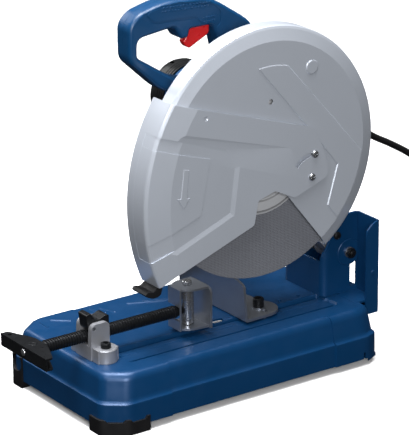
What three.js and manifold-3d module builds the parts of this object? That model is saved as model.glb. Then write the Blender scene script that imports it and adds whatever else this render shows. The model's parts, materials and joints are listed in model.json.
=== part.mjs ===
// Abrasive chop saw: a 355 mm cut-off wheel on a spring-raised arm, over a pressed base with a
// quick-release vise.
// Millimetres. +X runs from the crank to the rear pivot, +Y from the wheel to the motor, +Z up.
// Dimensions are given from the floor under the centre of the base.
import * as THREE from "three";
import { mergeVertices } from "three/addons/utils/BufferGeometryUtils.js";
import Module from "manifold-3d";

const wasm = await Module();
wasm.setup();

// ---------------------------------------------------------------- driving dimensions
const GAP = 0.3; // between pieces that touch
const BASE = {
  front: -228.5, rear: 235.5, width: 267, chamfer: [31, 24], rearChamfer: [20, 10], skirt: 10,
  ledge: 42.6, step: 52.3,
};
const BASE_TOP = { z: 84, shoulder: 79, ledgeInset: 4.2, shoulderInset: 10, inset: 14, sheet: 3 };
const PAD = { x0: 170, x1: 205, y0: 74, y1: 108 };
const TROUGH = { x0: -166, x1: 193, far: -41, ridge: -56, near: -88, shelf: 81, floor: 77 };
const WHEEL = { radius: 177.5, thickness: 3, bore: 25.4, x: 67.6, y: -76, z: 330.2 };
const PIVOT = { x: 236, z: 144.5, shaft: 8, barrel: 21 };
const CHEEK = { near: -57, far: 38, sheet: 4, front: 198, rear: 255, top: 203 };
const COLUMN = { near: -103, foot: 62, front: 233 };
const GUARD = { face: -91, edge: -84, back: -60, flat: 167, radius: 186.3, sheet: 1.6 };
const SHIELD = { x: 130.5, z: 286.5, face: -96, rimBack: -45, flat: 230, radius: 267, sheet: 1.5 };
const SHIELD_PIVOT = { x: 139.6, z: 289.3 };
const SLOT_SCREW = { x: 144.6, z: 322.1 };
const MOTOR = { x: 81, z: 365, radius: 50, front: -2, seam: 126, rear: 152 };
const GEAR = { module: 1.5, wheelTeeth: 42, pinionTeeth: 8, y0: -40, y1: -28, bore: 7.5 };
const LOCK = { y: -34, head: 7, stem: 3 };
const HANDLE = { y: -5, half: 17 };
const VISE = { y: -38, z: 115, radius: 9, front: -300, jaw: -12, pin: -34 };
const BRACKET = { x0: -207, x1: -176, near: -57, far: -19, cheek: 8, top: 136 };
const PAWL = { x: -201, z: 130 };
const FENCE = { x: 48, near: -70, far: 92, top: 145.5, sheet: 4, bolt: 87, boltY: -41 };
const CORD = { y: 30, radius: 5, coilInner: 40, coilOuter: 70, coilHeight: 20, coilX: 444, coilY: -74 };

const CORD_NODES = ["power_cord", "cord_coil", "mains_plug"];

// ---------------------------------------------------------------- materials
const finish = (color, roughness, metalness) => () => new THREE.MeshStandardMaterial({
  color, roughness, metalness,
});
const blue = finish(0x1f5f96, 0.45, 0.3);
const silver = finish(0xa3adba, 0.35, 0.8);
const zinc = finish(0x8e959d, 0.4, 0.8);
const castMetal = finish(0xa9adb5, 0.5, 0.7);
const black = finish(0x15171a, 0.5, 0.4);
const steel = finish(0x7d8288, 0.35, 0.9);
const rubber = finish(0x17181a, 0.85, 0.0);
const abrasive = finish(0x3a3d45, 0.95, 0.0);
const paper = finish(0xb4b8bf, 0.6, 0.2);
const plastic = finish(0x1b1d20, 0.55, 0.0);
const red = finish(0xbe1e22, 0.4, 0.0);
const copper = finish(0xb06a3c, 0.4, 0.8);

// ---------------------------------------------------------------- solids
function solid(geometry) {
  const bare = geometry.clone();
  for (const name of Object.keys(bare.attributes)) if (name !== "position") bare.deleteAttribute(name);
  const merged = mergeVertices(bare, 1e-4);
  const triVerts = new Uint32Array(merged.index.array);
  return new wasm.Manifold(new wasm.Mesh({
    numProp: 3, vertProperties: merged.attributes.position.array, triVerts,
  }));
}

function geometryOf(shape) {
  const mesh = shape.getMesh();
  const geometry = new THREE.BufferGeometry();
  geometry.setAttribute("position", new THREE.BufferAttribute(mesh.vertProperties, 3));
  geometry.setIndex(new THREE.BufferAttribute(mesh.triVerts, 1));
  const flat = geometry.toNonIndexed();
  flat.computeVertexNormals();
  return flat;
}

const join = (first, ...rest) => rest.reduce((a, b) => a.add(b), first);
const cut = (first, ...rest) => rest.reduce((a, b) => a.subtract(b), first);

function box(x0, x1, y0, y1, z0, z1) {
  const geometry = new THREE.BoxGeometry(x1 - x0, y1 - y0, z1 - z0);
  return solid(geometry.translate((x0 + x1) / 2, (y0 + y1) / 2, (z0 + z1) / 2));
}

// A round bar along an axis, from one coordinate to the other; "at" is its place in the other two axes.
function rod(axis, radius, from, to, at, sides = 24, endRadius = radius) {
  const geometry = new THREE.CylinderGeometry(endRadius, radius, to - from, sides);
  const middle = (from + to) / 2;
  if (axis === "x") geometry.rotateZ(-Math.PI / 2).translate(middle, at[0], at[1]);
  if (axis === "y") geometry.translate(at[0], middle, at[1]);
  if (axis === "z") geometry.rotateX(Math.PI / 2).translate(at[0], at[1], middle);
  return solid(geometry);
}

// A profile of [radius, y] points, turned about a line along Y through x, z.
function turned(profile, x, z, sides = 48) {
  const points = profile.map(([radius, y]) => new THREE.Vector2(radius, y));
  return solid(new THREE.LatheGeometry(points, sides).translate(x, 0, z));
}

const shapeOf = (points) =>
  points instanceof THREE.Shape ? points : new THREE.Shape(points.map(([a, b]) => new THREE.Vector2(a, b)));

// Outlines: in X and Z pushed along Y, in X and Y pushed up Z, and in Y and Z pushed along X.
function plateY(points, y0, y1) {
  const geometry = new THREE.ExtrudeGeometry(
    shapeOf(points), { depth: y1 - y0, bevelEnabled: false, curveSegments: 8 },
  );
  return solid(geometry.rotateX(Math.PI / 2).translate(0, y1, 0));
}

function plateZ(points, z0, z1) {
  const geometry = new THREE.ExtrudeGeometry(
    shapeOf(points), { depth: z1 - z0, bevelEnabled: false, curveSegments: 8 },
  );
  return solid(geometry.translate(0, 0, z0));
}

function plateX(points, x0, x1) {
  const geometry = new THREE.ExtrudeGeometry(
    shapeOf(points), { depth: x1 - x0, bevelEnabled: false, curveSegments: 8 },
  );
  return solid(geometry.rotateX(Math.PI / 2).rotateZ(Math.PI / 2).translate(x0, 0, 0));
}

function circle(x, y, radius, sides = 24, from = 0, to = 2 * Math.PI) {
  const whole = Math.abs(to - from - 2 * Math.PI) < 1e-9;
  const count = whole ? sides : sides + 1;
  return Array.from({ length: count }, (_, i) => {
    const angle = from + ((to - from) * i) / sides;
    return [x + radius * Math.cos(angle), y + radius * Math.sin(angle)];
  });
}

// A solid skinned over rings of the same number of points, closed by flat convex ends.
function loft(rings) {
  const count = rings[0].points.length;
  const positions = rings.flatMap(({ points, z }) => points.flatMap(([x, y]) => [x, y, z]));
  const index = [];
  for (let ring = 0; ring + 1 < rings.length; ring++)
    for (let i = 0; i < count; i++) {
      const a = ring * count + i;
      const b = ring * count + ((i + 1) % count);
      index.push(a, b, b + count, a, b + count, a + count);
    }
  const last = (rings.length - 1) * count;
  for (let i = 1; i + 1 < count; i++) {
    index.push(0, i + 1, i);
    index.push(last, last + i, last + i + 1);
  }
  const geometry = new THREE.BufferGeometry();
  geometry.setAttribute("position", new THREE.Float32BufferAttribute(positions, 3));
  geometry.setIndex(index);
  return solid(geometry);
}

function sweep(points, radius, sides, steps) {
  const section = new THREE.Shape(circle(0, 0, radius, sides).map(([a, b]) => new THREE.Vector2(a, b)));
  const path = new THREE.CatmullRomCurve3(points.map((p) => new THREE.Vector3(...p)));
  return solid(new THREE.ExtrudeGeometry(section, { steps, bevelEnabled: false, extrudePath: path }));
}

const ring = (inner, outer, y0, y1, x, z, sides) =>
  turned([[inner, y0], [outer, y0], [outer, y1], [inner, y1], [inner, y0]], x, z, sides);

const hexagon = (x, y, across) => circle(x, y, across / Math.sqrt(3), 6);

const degrees = (angle) => (angle * Math.PI) / 180;

// ---------------------------------------------------------------- the assembly
const saw = new THREE.Group();

function add(name, shape, material, parent = saw) {
  const geometry = shape instanceof THREE.BufferGeometry ? shape : geometryOf(shape);
  const mesh = new THREE.Mesh(geometry, material());
  mesh.name = name;
  parent.add(mesh);
  return mesh;
}

// ---------------------------------------------------------------- base
function baseOutline(inset) {
  const front = BASE.front + inset;
  const rear = BASE.rear - inset;
  const b = BASE.width / 2 - inset;
  const [cx, cy] = BASE.chamfer;
  const [rx, ry] = BASE.rearChamfer;
  const near = [[front, -b + cy], [front + cx, -b], [rear - rx, -b], [rear, -b + ry]];
  return [...near, ...near.map(([x, y]) => [x, -y]).reverse()];
}

function basePan() {
  const { z, shoulder, ledgeInset, shoulderInset, inset, sheet } = BASE_TOP;
  const skin = (grow, top) =>
    loft([
      { points: baseOutline(-grow), z: BASE.skirt },
      { points: baseOutline(-grow), z: BASE.ledge },
      { points: baseOutline(ledgeInset - grow), z: BASE.step },
      { points: baseOutline(shoulderInset - grow), z: shoulder },
      { points: baseOutline(inset - grow), z: top },
    ]);
  const panel = skin(2, z).intersect(box(-125, 160, -140, 140, 13, 78));
  const hollow = loft([
    { points: baseOutline(sheet), z: BASE.skirt - 1 },
    { points: baseOutline(sheet), z: BASE.ledge - 1 },
    { points: baseOutline(ledgeInset + sheet), z: BASE.step - 1 },
    { points: baseOutline(inset + sheet), z: z - sheet },
  ]);
  const troughWall = box(
    TROUGH.x0 - 3, TROUGH.x1 + 3, TROUGH.near - 3, TROUGH.far + 3, TROUGH.floor - 3, z - 1,
  );
  const { far, ridge, near, shelf, floor } = TROUGH;
  const section = [
    [near, z + 1], [near, floor], [near + 3, floor], [ridge, shelf], [far, shelf], [far, z + 1],
  ];
  const trough = plateX(section, TROUGH.x0, TROUGH.x1);
  const hole = (x, y, radius) => rod("z", radius, 70, 90, [x, y], 12);
  const drainHoles = [133, 166].map((x) => hole(x, -30, 3));
  const screwX = BRACKET.x0 + 18.5;
  const screwHoles = [
    [screwX, BRACKET.near - 9], [screwX, BRACKET.far + 9], [FENCE.bolt, FENCE.boltY],
  ].map(([x, y]) => hole(x, y, 4.6));
  const pan = cut(
    join(cut(join(skin(0, z), panel), hollow), troughWall), trough, ...drainHoles, ...screwHoles,
  );
  return join(pan, ...[-1, 1].flatMap(rearCorner));
}

function rearCorner(side) {
  // A plate that carries the rear pad, and a tab of the skirt that hangs a little lower.
  const { rear, width, skirt } = BASE;
  const b = width / 2;
  const plateOutline = [
    [PAD.x0 - 6, b - 1], [PAD.x0 - 6, PAD.y0 - 4], [rear - 1, PAD.y0 - 4], [rear - 1, b - 11],
    [rear - 21, b - 1],
  ];
  const tabOutline = [
    [rear - 22, b], [rear - 20, b], [rear, b - 10], [rear, b - 16], [rear - 3, b - 16],
    [rear - 3, b - 11.5], [rear - 21, b - 3], [rear - 22, b - 3],
  ];
  const mirror = (points) => points.map(([x, y]) => [x, side * y]);
  const shape = (points, z0, z1) => plateZ(side < 0 ? mirror(points).reverse() : points, z0, z1);
  return [shape(plateOutline, skirt, skirt + 3), shape(tabOutline, skirt - 4, skirt + 1)];
}

function foot(tall) {
  // A rubber corner shoe, drawn for the corner at the lowest x and y, around the chamfered skirt.
  const a = -BASE.front;
  const b = BASE.width / 2;
  const outer = [
    [-a - 3, -b + 46], [-a - 3, -b + 22], [-a + 30, -b - 3], [-a + 64, -b - 3], [-a + 64, -b + 9],
    [-a + 9, -b + 46],
  ];
  const top = tall ? 46 : 22;
  const lip = plateZ(outer, 0, BASE.skirt - GAP);
  const inner = [
    [-a - GAP, -b + 50], [-a - GAP, -b + 24], [-a + 31, -b - GAP], [-a + 68, -b - GAP],
    [-a + 68, -b + 12], [-a + 12, -b + 50],
  ];
  const wall = cut(plateZ(outer, BASE.skirt - GAP, top), plateZ(inner, BASE.skirt - 1, top + 1));
  return geometryOf(join(lip, wall.translate([0, 0, -0.01])));
}

function addBase() {
  add("base_pan", basePan(), blue);
  for (const [corner, side] of [["near", 1], ["far", -1]]) {
    const shoe = add(`foot_front_${corner}`, foot(corner === "far"), rubber);
    shoe.scale.set(1, side, 1);
    const { x0, x1, y0, y1 } = PAD;
    const pad = plateZ([[x0, y0], [x1 - 4, y0], [x1, y0 + 4], [x1, y1], [x0, y1]], 0, BASE.skirt - GAP);
    const rearFoot = add(`foot_rear_${corner}`, geometryOf(pad), rubber);
    rearFoot.scale.set(1, -side, 1);
  }
}

// ---------------------------------------------------------------- rear bracket and pivot
function pivotBracket() {
  const { near, far, sheet, front, rear, top } = CHEEK;
  const z0 = BASE_TOP.z + GAP;
  const cheekOutline = [
    [front - 8, z0], [rear, z0], [rear, top], [rear - 12, top], [front + 12, top], [front - 8, 150],
  ];
  const window = [
    [rear - 12, z0 + 4], [rear - 3, z0 + 4], [rear - 3, 132], [rear - 8, 138], [rear - 12, 136],
  ];
  const cheek = (y) => cut(plateY(cheekOutline, y, y + sheet), plateY(window, y - 1, y + sheet + 1));
  const columnWeb = box(rear - 3, rear, COLUMN.near, near + 1, COLUMN.foot, top);
  const flangeOutline = [
    [COLUMN.front, COLUMN.foot + 4], [COLUMN.front + 4, COLUMN.foot], [rear, COLUMN.foot],
    [rear, top], [rear - 12, top - 5], [COLUMN.front, top - 17],
  ];
  const columnFlange = plateY(flangeOutline, COLUMN.near, COLUMN.near + 3);
  const bore = rod("y", PIVOT.shaft + 0.2, near - 5, far + 5, [PIVOT.x, PIVOT.z], 32);
  const frontPlate = box(front - 8, front - 8 + sheet, near, far, z0, 138);
  const floor = box(front - 8, rear - 14, near, far, z0, z0 + sheet);
  const stopHole = rod("y", 3.3, near - 5, near + 6, [214.5, 174.2], 16);
  return cut(
    join(cheek(near), cheek(far - sheet), frontPlate, floor, columnWeb, columnFlange), bore,
    stopHole,
  );
}

function addPivot() {
  const { x, z, shaft, barrel } = PIVOT;
  const at = [x, z];
  add("pivot_bracket", pivotBracket(), blue);
  add("pivot_shaft", rod("y", shaft, CHEEK.near - 4.2, CHEEK.far + 4.2, at, 32), steel);
  const nut = (y0) => plateY(hexagon(x, z, 18), y0, y0 + 5);
  const tip = (y0, y1) => rod("y", 4, y0, y1, at, 16);
  add("pivot_bolt", join(nut(CHEEK.near - 9.5), tip(CHEEK.near - 12, CHEEK.near - 6)), black);
  add("pivot_nut", join(nut(CHEEK.far + 4.5), tip(CHEEK.far + 6, CHEEK.far + 12)), black);
  add("pivot_bush_near", ring(shaft + 0.3, 11, -48, -36, x, z, 20), zinc);
  add("pivot_bush_far", ring(shaft + 0.3, 11, -20, -8, x, z, 20), zinc);
  add(
    "stop_screw",
    join(
      rod("y", 6, -61.5, CHEEK.near - GAP, [214.5, 174.2], 20),
      rod("y", 3, -58, -50, [214.5, 174.2], 16),
    ),
    black,
  );
  const turns = 4;
  const steps = turns * 12;
  const coil = Array.from({ length: steps + 1 }, (_, i) => {
    const angle = (i / steps) * turns * 2 * Math.PI;
    return [x + (barrel - 5) * Math.cos(angle), 1 + (26 * i) / steps, z + (barrel - 5) * Math.sin(angle)];
  });
  add("return_spring", sweep(coil, 2, 6, steps), steel);
}

// ---------------------------------------------------------------- vise
function spindleBracket() {
  const { x0, x1, near, far, cheek, top } = BRACKET;
  const z0 = BASE_TOP.z + GAP;
  const outline = [[x0, z0], [x1 + 4, z0], [x1, top - 6], [x1 - 6, top], [x0 + 7, top], [x0, top - 7]];
  const nearCheek = plateY(outline, near, near + cheek);
  const farCheek = plateY(outline, far - cheek, far);
  const saddle = box(x0, x1, near + 1, far - 1, z0, VISE.z - VISE.radius - 1.5);
  const boss = (y) => rod("z", 17, z0, 103, [x0 + 18.5, y], 28);
  const bossWeb = (y0, y1) => box(x0 + 1.5, x0 + 35.5, y0, y1, z0, 103);
  const body = join(
    nearCheek, farCheek, saddle, boss(near - 7), bossWeb(near - 7, near + 2), boss(far + 7),
    bossWeb(far - 2, far + 7),
  );
  const bores = [near - 9, far + 9].map((y) => rod("z", 4.5, 70, 110, [x0 + 18.5, y], 16));
  const pinHole = rod("y", 2.7, near - 1, far + 1, [PAWL.x, PAWL.z], 16);
  return cut(body, ...bores, pinHole);
}

function capScrew(x, y, seat, headRadius, headHeight, shank, depth) {
  const socket = plateZ(hexagon(x, y, headRadius), seat + headHeight * 0.5, seat + headHeight + 1);
  return cut(
    join(
      rod("z", headRadius, seat, seat + headHeight, [x, y], 20),
      rod("z", shank, seat - depth, seat + 0.5, [x, y], 14),
    ),
    socket,
  );
}

function pawl() {
  // The half nut: a block between the cheeks, threaded underneath, with a notched grip on top.
  const { x0, near, far, cheek } = BRACKET;
  const low = VISE.z + VISE.radius + GAP;
  const outline = [
    [x0 + 1.5, 130], [x0 + 3, 126.5], [PAWL.x, low], [-171, low], [-171, 141], [-175, 143],
    [-189, 137.5], [-194, 139], [-200, 150], [-208, 148],
  ];
  const body = plateY(outline, near + cheek + 0.8, far - cheek - 0.8);
  return cut(body, rod("y", 2.7, near, far, [PAWL.x, PAWL.z], 16));
}

function crankHandle() {
  const { front, y, z } = VISE;
  const half = 57.5;
  const web = box(front - 3, front, y - half, y + half, z - 9, z + 9);
  const flangeOutline = [
    [front - 1, y - half], [front + 9, y - half], [front + 26, y - 14], [front + 26, y + 14],
    [front + 9, y + half], [front - 1, y + half],
  ];
  const flange = (z0) => plateZ(flangeOutline, z0, z0 + 2.5);
  const hole = rod("z", 3, z - 12, z + 12, [front + 4, y + half - 12], 14);
  return cut(join(web, flange(z + 6.5), flange(z - 9)), hole);
}

function viseSpindle() {
  const { y, z, radius, front, pin } = VISE;
  const at = [y, z];
  const crankEnd = rod("x", 6, front + GAP, front + 27, at, 20);
  const thread = rod("x", radius, front + 26.5, pin - 16, at, 24);
  const neck = rod("x", 5.5, pin - 17, pin - 5, at, 20);
  return join(crankEnd, thread, neck);
}

function viseJaw() {
  const { y, z, jaw, pin } = VISE;
  const nearY = y - 30;
  const farY = y + 26;
  const faceOutline = [
    [nearY, 92], [nearY, 146.5], [nearY + 9, 151], [farY - 9, 151], [farY, 146.5], [farY, 92],
  ];
  const face = plateX(faceOutline, jaw - 3, jaw);
  const plan = [
    [jaw - 1, nearY + 9], [pin - 14, nearY + 11], [pin - 23, nearY + 20], [pin - 23, farY - 18],
    [pin - 14, farY - 9], [jaw - 1, farY - 9],
  ];
  const top = plateZ(plan, 148, 151);
  const bottom = plateZ(plan, 90, 93);
  const bottomLip = box(jaw - 3, jaw, nearY, farY, 90, 93);
  const frontWall = box(pin - 23, pin - 20, nearY + 12, farY - 10, 90, 151);
  const frontSlot = box(pin - 25, pin - 18, y - 14.5, y + 30, z - 10.5, z + 10.5);
  const pinHoles = rod("z", 3.8, 80, 160, [pin, y], 16);
  return cut(join(face, top, bottom, bottomLip, cut(frontWall, frontSlot)), pinHoles);
}

function addVise() {
  const { x0, near, far } = BRACKET;
  const { y, z, pin } = VISE;
  add("spindle_bracket", spindleBracket(), castMetal);
  add("bracket_screw_near", capScrew(x0 + 18.5, near - 9, 103 + GAP, 7, 7, 4, 26), black);
  add("bracket_screw_far", capScrew(x0 + 18.5, far + 9, 103 + GAP, 7, 7, 4, 26), black);
  add("half_nut_pawl", pawl(), black);
  add("pawl_pin", rod("y", 2.4, near + 0.5, far - 0.5, [PAWL.x, PAWL.z], 16), steel);
  add("vise_spindle", viseSpindle(), black);
  add("crank_handle", crankHandle(), black);
  add("crank_rivet", rod("x", 5, VISE.front - 4.8, VISE.front - 3 - GAP, [y, z], 16), steel);
  add("vise_jaw", viseJaw(), zinc);
  const barrel = cut(rod("z", 9.5, 93.5, 147.5, [pin, y], 24), rod("z", 3.8, 80, 160, [pin, y], 16));
  add("swivel_barrel", cut(barrel, rod("x", 5.8, pin - 12, pin - 4.6, [y, z], 20)), zinc);
  const head = plateZ(hexagon(pin, y, 13), 151 + GAP, 157);
  add("jaw_pin", join(head, rod("z", 3.5, 85.5, 152, [pin, y], 16)), steel);
}

// ---------------------------------------------------------------- fence
function fencePlate() {
  const { x, near, far, top, sheet, bolt, boltY } = FENCE;
  const z0 = BASE_TOP.z + GAP;
  const lean = 4.6;
  const uprightOutline = [[x - lean - sheet, top], [x - lean, top], [x, z0 + 3], [x, z0], [x - sheet, z0]];
  const upright = plateY(uprightOutline, near, far);
  const corner = plateX([[near - 1, top - 9], [near - 1, top + 1], [near + 20, top + 1]], x - 12, x + 4);
  const farCorner = plateX([[far + 1, top + 1], [far + 1, top - 9], [far - 20, top + 1]], x - 12, x + 4);
  const toe = circle(bolt, boltY, 28, 12, degrees(-90), degrees(40));
  const footOutline = [[x - 1, near], ...toe, [bolt + 16, 10], [bolt + 4, far - 8], [x - 1, far - 4]];
  const plate = plateZ(footOutline, z0, z0 + sheet);
  const bore = rod("z", 4.3, 70, 100, [bolt, boltY], 16);
  const slot = box(bolt - 3, bolt + 4, boltY - 19, boltY - 9, 80, 95);
  const farSlot = box(bolt - 14, bolt - 5.6, 48, 72, 80, 95);
  return cut(join(upright, plate), corner, farCorner, bore, slot, farSlot);
}

function addFence() {
  const { bolt, boltY, sheet } = FENCE;
  const seat = BASE_TOP.z + sheet + 2 * GAP + 1.6;
  const washer = (x, y) => cut(
    rod("z", 9.5, seat - 1.6 - GAP + 0.3, seat - GAP, [x, y], 20),
    rod("z", 4.4, 80, 100, [x, y], 14),
  );
  add("fence", fencePlate(), zinc);
  add("fence_washer", washer(bolt, boltY), zinc);
  add("fence_bolt", capScrew(bolt, boltY, seat, 8, 13, 3.9, 24), black);
}

// ---------------------------------------------------------------- arm, gears and motor (the swinging head)
function armCasting() {
  // Gear case, arm and pivot barrel in one casting; the case opens to the wheel side.
  const { x, z } = WHEEL;
  const caseOutline = [
    ...circle(x, z, 43, 16, degrees(150), degrees(355)),
    ...circle(MOTOR.x, MOTOR.z, 34, 12, degrees(0), degrees(150)),
  ];
  const casing = plateY(caseOutline, -54, -4);
  const cavity = join(rod("y", 36, -55, -8, [x, z], 32), rod("y", 17, -55, -8, [MOTOR.x, MOTOR.z], 24));
  const lockBore = rod("x", LOCK.stem + 0.3, x - 50, x - 30, [LOCK.y, z], 12);
  const length = Math.hypot(PIVOT.x - x, PIVOT.z - z);
  const angle = Math.atan2(PIVOT.z - z, PIVOT.x - x);
  const along = (d, side) => [
    x + d * Math.cos(angle) - side * Math.sin(angle),
    z + d * Math.sin(angle) + side * Math.cos(angle),
  ];
  const beam = plateY([along(38, -24), along(length, -17), along(length, 17), along(38, 26)], -46, -12);
  const barrel = rod("y", PIVOT.barrel - 1, -48.5, -2, [PIVOT.x, PIVOT.z], 24);
  const barrelBore = rod("y", 11.2, -60, 40, [PIVOT.x, PIVOT.z], 32);
  const shaftBore = rod("y", 15.2, -10, 0, [x, z], 28);
  const motorBore = rod("y", 14, -10, 0, [MOTOR.x, MOTOR.z], 24);
  return cut(join(casing, beam, barrel), cavity, barrelBore, shaftBore, motorBore, lockBore);
}

function gearOutline(teeth, x, z, phase) {
  const { module } = GEAR;
  const pitch = (teeth * module) / 2;
  const root = pitch - 1.15 * module;
  const tip = pitch + 0.8 * module;
  const points = [];
  for (let i = 0; i < teeth; i++)
    for (const [part, radius] of [[-0.3, root], [-0.12, tip], [0.12, tip], [0.3, root]]) {
      const angle = phase + ((i + part) * 2 * Math.PI) / teeth;
      points.push([x + radius * Math.cos(angle), z + radius * Math.sin(angle)]);
    }
  return points;
}

function addGears() {
  const { x, z } = WHEEL;
  const line = Math.atan2(MOTOR.z - z, MOTOR.x - x);
  const wheel = plateY(gearOutline(GEAR.wheelTeeth, x, z, line), GEAR.y0, GEAR.y1);
  add("drive_gear", cut(wheel, rod("y", GEAR.bore + 0.2, -60, 0, [x, z], 24)), steel);
  const gapPhase = line + Math.PI + Math.PI / GEAR.pinionTeeth;
  const pinion = plateY(
    gearOutline(GEAR.pinionTeeth, MOTOR.x, MOTOR.z, gapPhase), GEAR.y0 - 1, GEAR.y1 + 1,
  );
  const at = [MOTOR.x, MOTOR.z];
  const shaft = rod("y", 5, GEAR.y1, 138, at, 16);
  add("armature", join(pinion, shaft, rod("y", 22, 36, 84, at, 24), rod("y", 13, 98, 112, at, 20)), copper);
  const blades = Array.from({ length: 8 }, (_, i) => {
    const angle = (i * Math.PI) / 4;
    const blade = solid(new THREE.BoxGeometry(14, 12, 2).translate(25, 22, 0).rotateY(angle));
    return blade.translate([MOTOR.x, 0, MOTOR.z]);
  });
  add(
    "cooling_fan",
    cut(join(rod("y", 33, 12, 16, at, 32), ...blades), rod("y", 5.3, 0, 40, at, 16)), plastic,
  );
  add("field_coil", cut(rod("y", 44, 34, 86, at, 32), rod("y", 26, 30, 90, at, 24)), copper);
  const spindle = join(
    rod("y", GEAR.bore, -62, -10, [x, z], 24),
    rod("y", 14, -74.2, -62, [x, z], 24),
    rod("y", 12.5, -77.4, -74, [x, z], 24),
  );
  add("output_spindle", cut(spindle, rod("y", 5.2, -80, -66, [x, z], 16)), steel);
  add("spindle_bearing_front", ring(GEAR.bore + 0.3, 16, -53, -43, x, z, 20), steel);
  add("spindle_bearing_rear", ring(GEAR.bore + 0.3, 15, -24, -14, x, z, 20), steel);
  add("motor_bearing_front", ring(5.3, 13.7, -9.5, -4.3, MOTOR.x, MOTOR.z, 24), steel);
  add("motor_bearing_rear", ring(5.3, 11, 128.5, 136, MOTOR.x, MOTOR.z, 24), steel);
}

function gearCover() {
  const { x, z } = WHEEL;
  const outline = [
    ...circle(x, z, 43, 16, degrees(150), degrees(355)),
    ...circle(MOTOR.x, MOTOR.z, 34, 12, degrees(0), degrees(150)),
  ];
  const plate = plateY(outline, -58.5, -54 - GAP);
  const seat = join(plate, rod("y", 19, -56, -42.7, [x, z], 24));
  const bearing = rod("y", 16.3, -53.3, -40, [x, z], 28);
  return cut(seat, bearing, rod("y", 9, -70, -40, [x, z], 24));
}

function motorHousing() {
  const at = [MOTOR.x, MOTOR.z];
  const shell = cut(
    rod("y", MOTOR.radius - 2, 0, MOTOR.seam, at, 36), rod("y", MOTOR.radius - 5, 3, 130, at, 36),
    rod("y", 14, -5, 10, at, 24),
  );
  const flange = cut(rod("y", MOTOR.radius - 2, -4 + GAP, 0.01, at, 48), rod("y", 14, -5, 10, at, 24));
  const vents = Array.from({ length: 6 }, (_, i) => {
    const slot = new THREE.BoxGeometry(20, 16, 4).translate(MOTOR.radius - 4, 22, 0);
    return solid(slot.rotateY(degrees(200 + i * 18))).translate([MOTOR.x, 0, MOTOR.z]);
  });
  const cordBoss = rod("x", 11, MOTOR.x + 45.5, MOTOR.x + 52, [CORD.y, MOTOR.z + 8], 20);
  const bore = rod("x", 8, MOTOR.x + 30, MOTOR.x + 60, [CORD.y, MOTOR.z + 8], 20);
  const brushBore = rod("z", 7.2, MOTOR.z + 30, MOTOR.z + 60, [MOTOR.x, 105], 16);
  return cut(join(shell, flange, cordBoss), ...vents, bore, brushBore);
}

function motorEndCap() {
  const at = [MOTOR.x, MOTOR.z];
  const { radius, seam, rear } = MOTOR;
  const dome = turned(
    [
      [0, rear], [radius - 12, rear], [radius - 3, rear - 5], [radius, rear - 12],
      [radius, seam - 14], [0, seam - 14], [0, rear],
    ].reverse(),
    ...at, 36,
  );
  const hollow = join(
    rod("y", radius - 1.7, seam - 20, seam + 0.3, at, 36),
    rod("y", radius - 5, seam, rear - 6, at, 36),
  );
  const seat = cut(rod("y", 14.5, 127, rear - 5, at, 24), rod("y", 11.3, 120, 140, at, 24));
  const vents = Array.from({ length: 10 }, (_, i) => {
    const slot = new THREE.BoxGeometry(12, 10, 5).translate(radius - 2, rear - 14, 0);
    return solid(slot.rotateY((i * Math.PI) / 5)).translate([MOTOR.x, 0, MOTOR.z]);
  });
  return cut(join(cut(dome, hollow), seat), ...vents);
}

function addMotor() {
  add("arm_casting", armCasting(), castMetal);
  add("gear_cover", gearCover(), castMetal);
  add("motor_housing", motorHousing(), blue);
  add("motor_end_cap", motorEndCap(), plastic);
  add("brush_cap", rod("z", 7, MOTOR.z + 41, MOTOR.z + 49.4, [MOTOR.x, 105], 18), plastic);
  addGears();
}

// ---------------------------------------------------------------- handle
function handleShell() {
  const { y, half } = HANDLE;
  const outer = new THREE.Shape();
  outer.moveTo(-112, 482);
  outer.lineTo(-112, 532);
  outer.quadraticCurveTo(-110, 545, -96, 547);
  outer.quadraticCurveTo(-35, 563, 12, 554);
  outer.quadraticCurveTo(26, 551, 36, 543);
  outer.lineTo(96, 503);
  outer.lineTo(110, 440);
  outer.lineTo(110, 402);
  outer.lineTo(44, 402);
  outer.lineTo(-54, 428);
  const grip = [
    [-98, 486], [-98, 512], [-37, 519], [-26, 500], [-15, 500], [-12, 512], [26, 512], [34, 492],
    [46, 440], [20, 432], [-38, 447],
  ];
  const body = cut(plateY(outer, y - half, y + half), plateY(grip, y - half - 1, y + half + 1));
  const saddle = rod("y", MOTOR.radius - 1.6, -60, 60, [MOTOR.x, MOTOR.z], 48);
  const pocket = plateY([[-14, 505], [-14, 547], [28, 547], [28, 505]], y - 7.5, y + 7.5);
  return cut(body, saddle, pocket);
}

function trigger() {
  const { y } = HANDLE;
  const outline = [
    [-12.5, 513], [-12.5, 497.5], [-16.5, 493], [-13, 486], [-7, 481.8], [-2, 484], [24, 496.5],
    [26.5, 502], [26.5, 513],
  ];
  return plateY(outline, y - 6.5, y + 6.5);
}

function addHandle() {
  const { y, half } = HANDLE;
  const shell = handleShell();
  add("handle_near", shell.intersect(box(-150, 150, y - half - 1, y - GAP / 2, 390, 570)), blue);
  add("handle_far", shell.intersect(box(-150, 150, y + GAP / 2, y + half + 1, 390, 570)), blue);
  add("trigger", trigger(), red);
  add("power_switch", box(-8, 25, y - 7, y + 7, 524.5, 546), plastic);
  const { head, stem } = LOCK;
  const lockX = WHEEL.x - 43;
  const button = join(
    rod("x", head, lockX - 9, lockX - 3, [LOCK.y, WHEEL.z], 16),
    rod("x", stem, lockX - 4, lockX + 4, [LOCK.y, WHEEL.z], 12),
  );
  add("spindle_lock", button, plastic);
}

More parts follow.
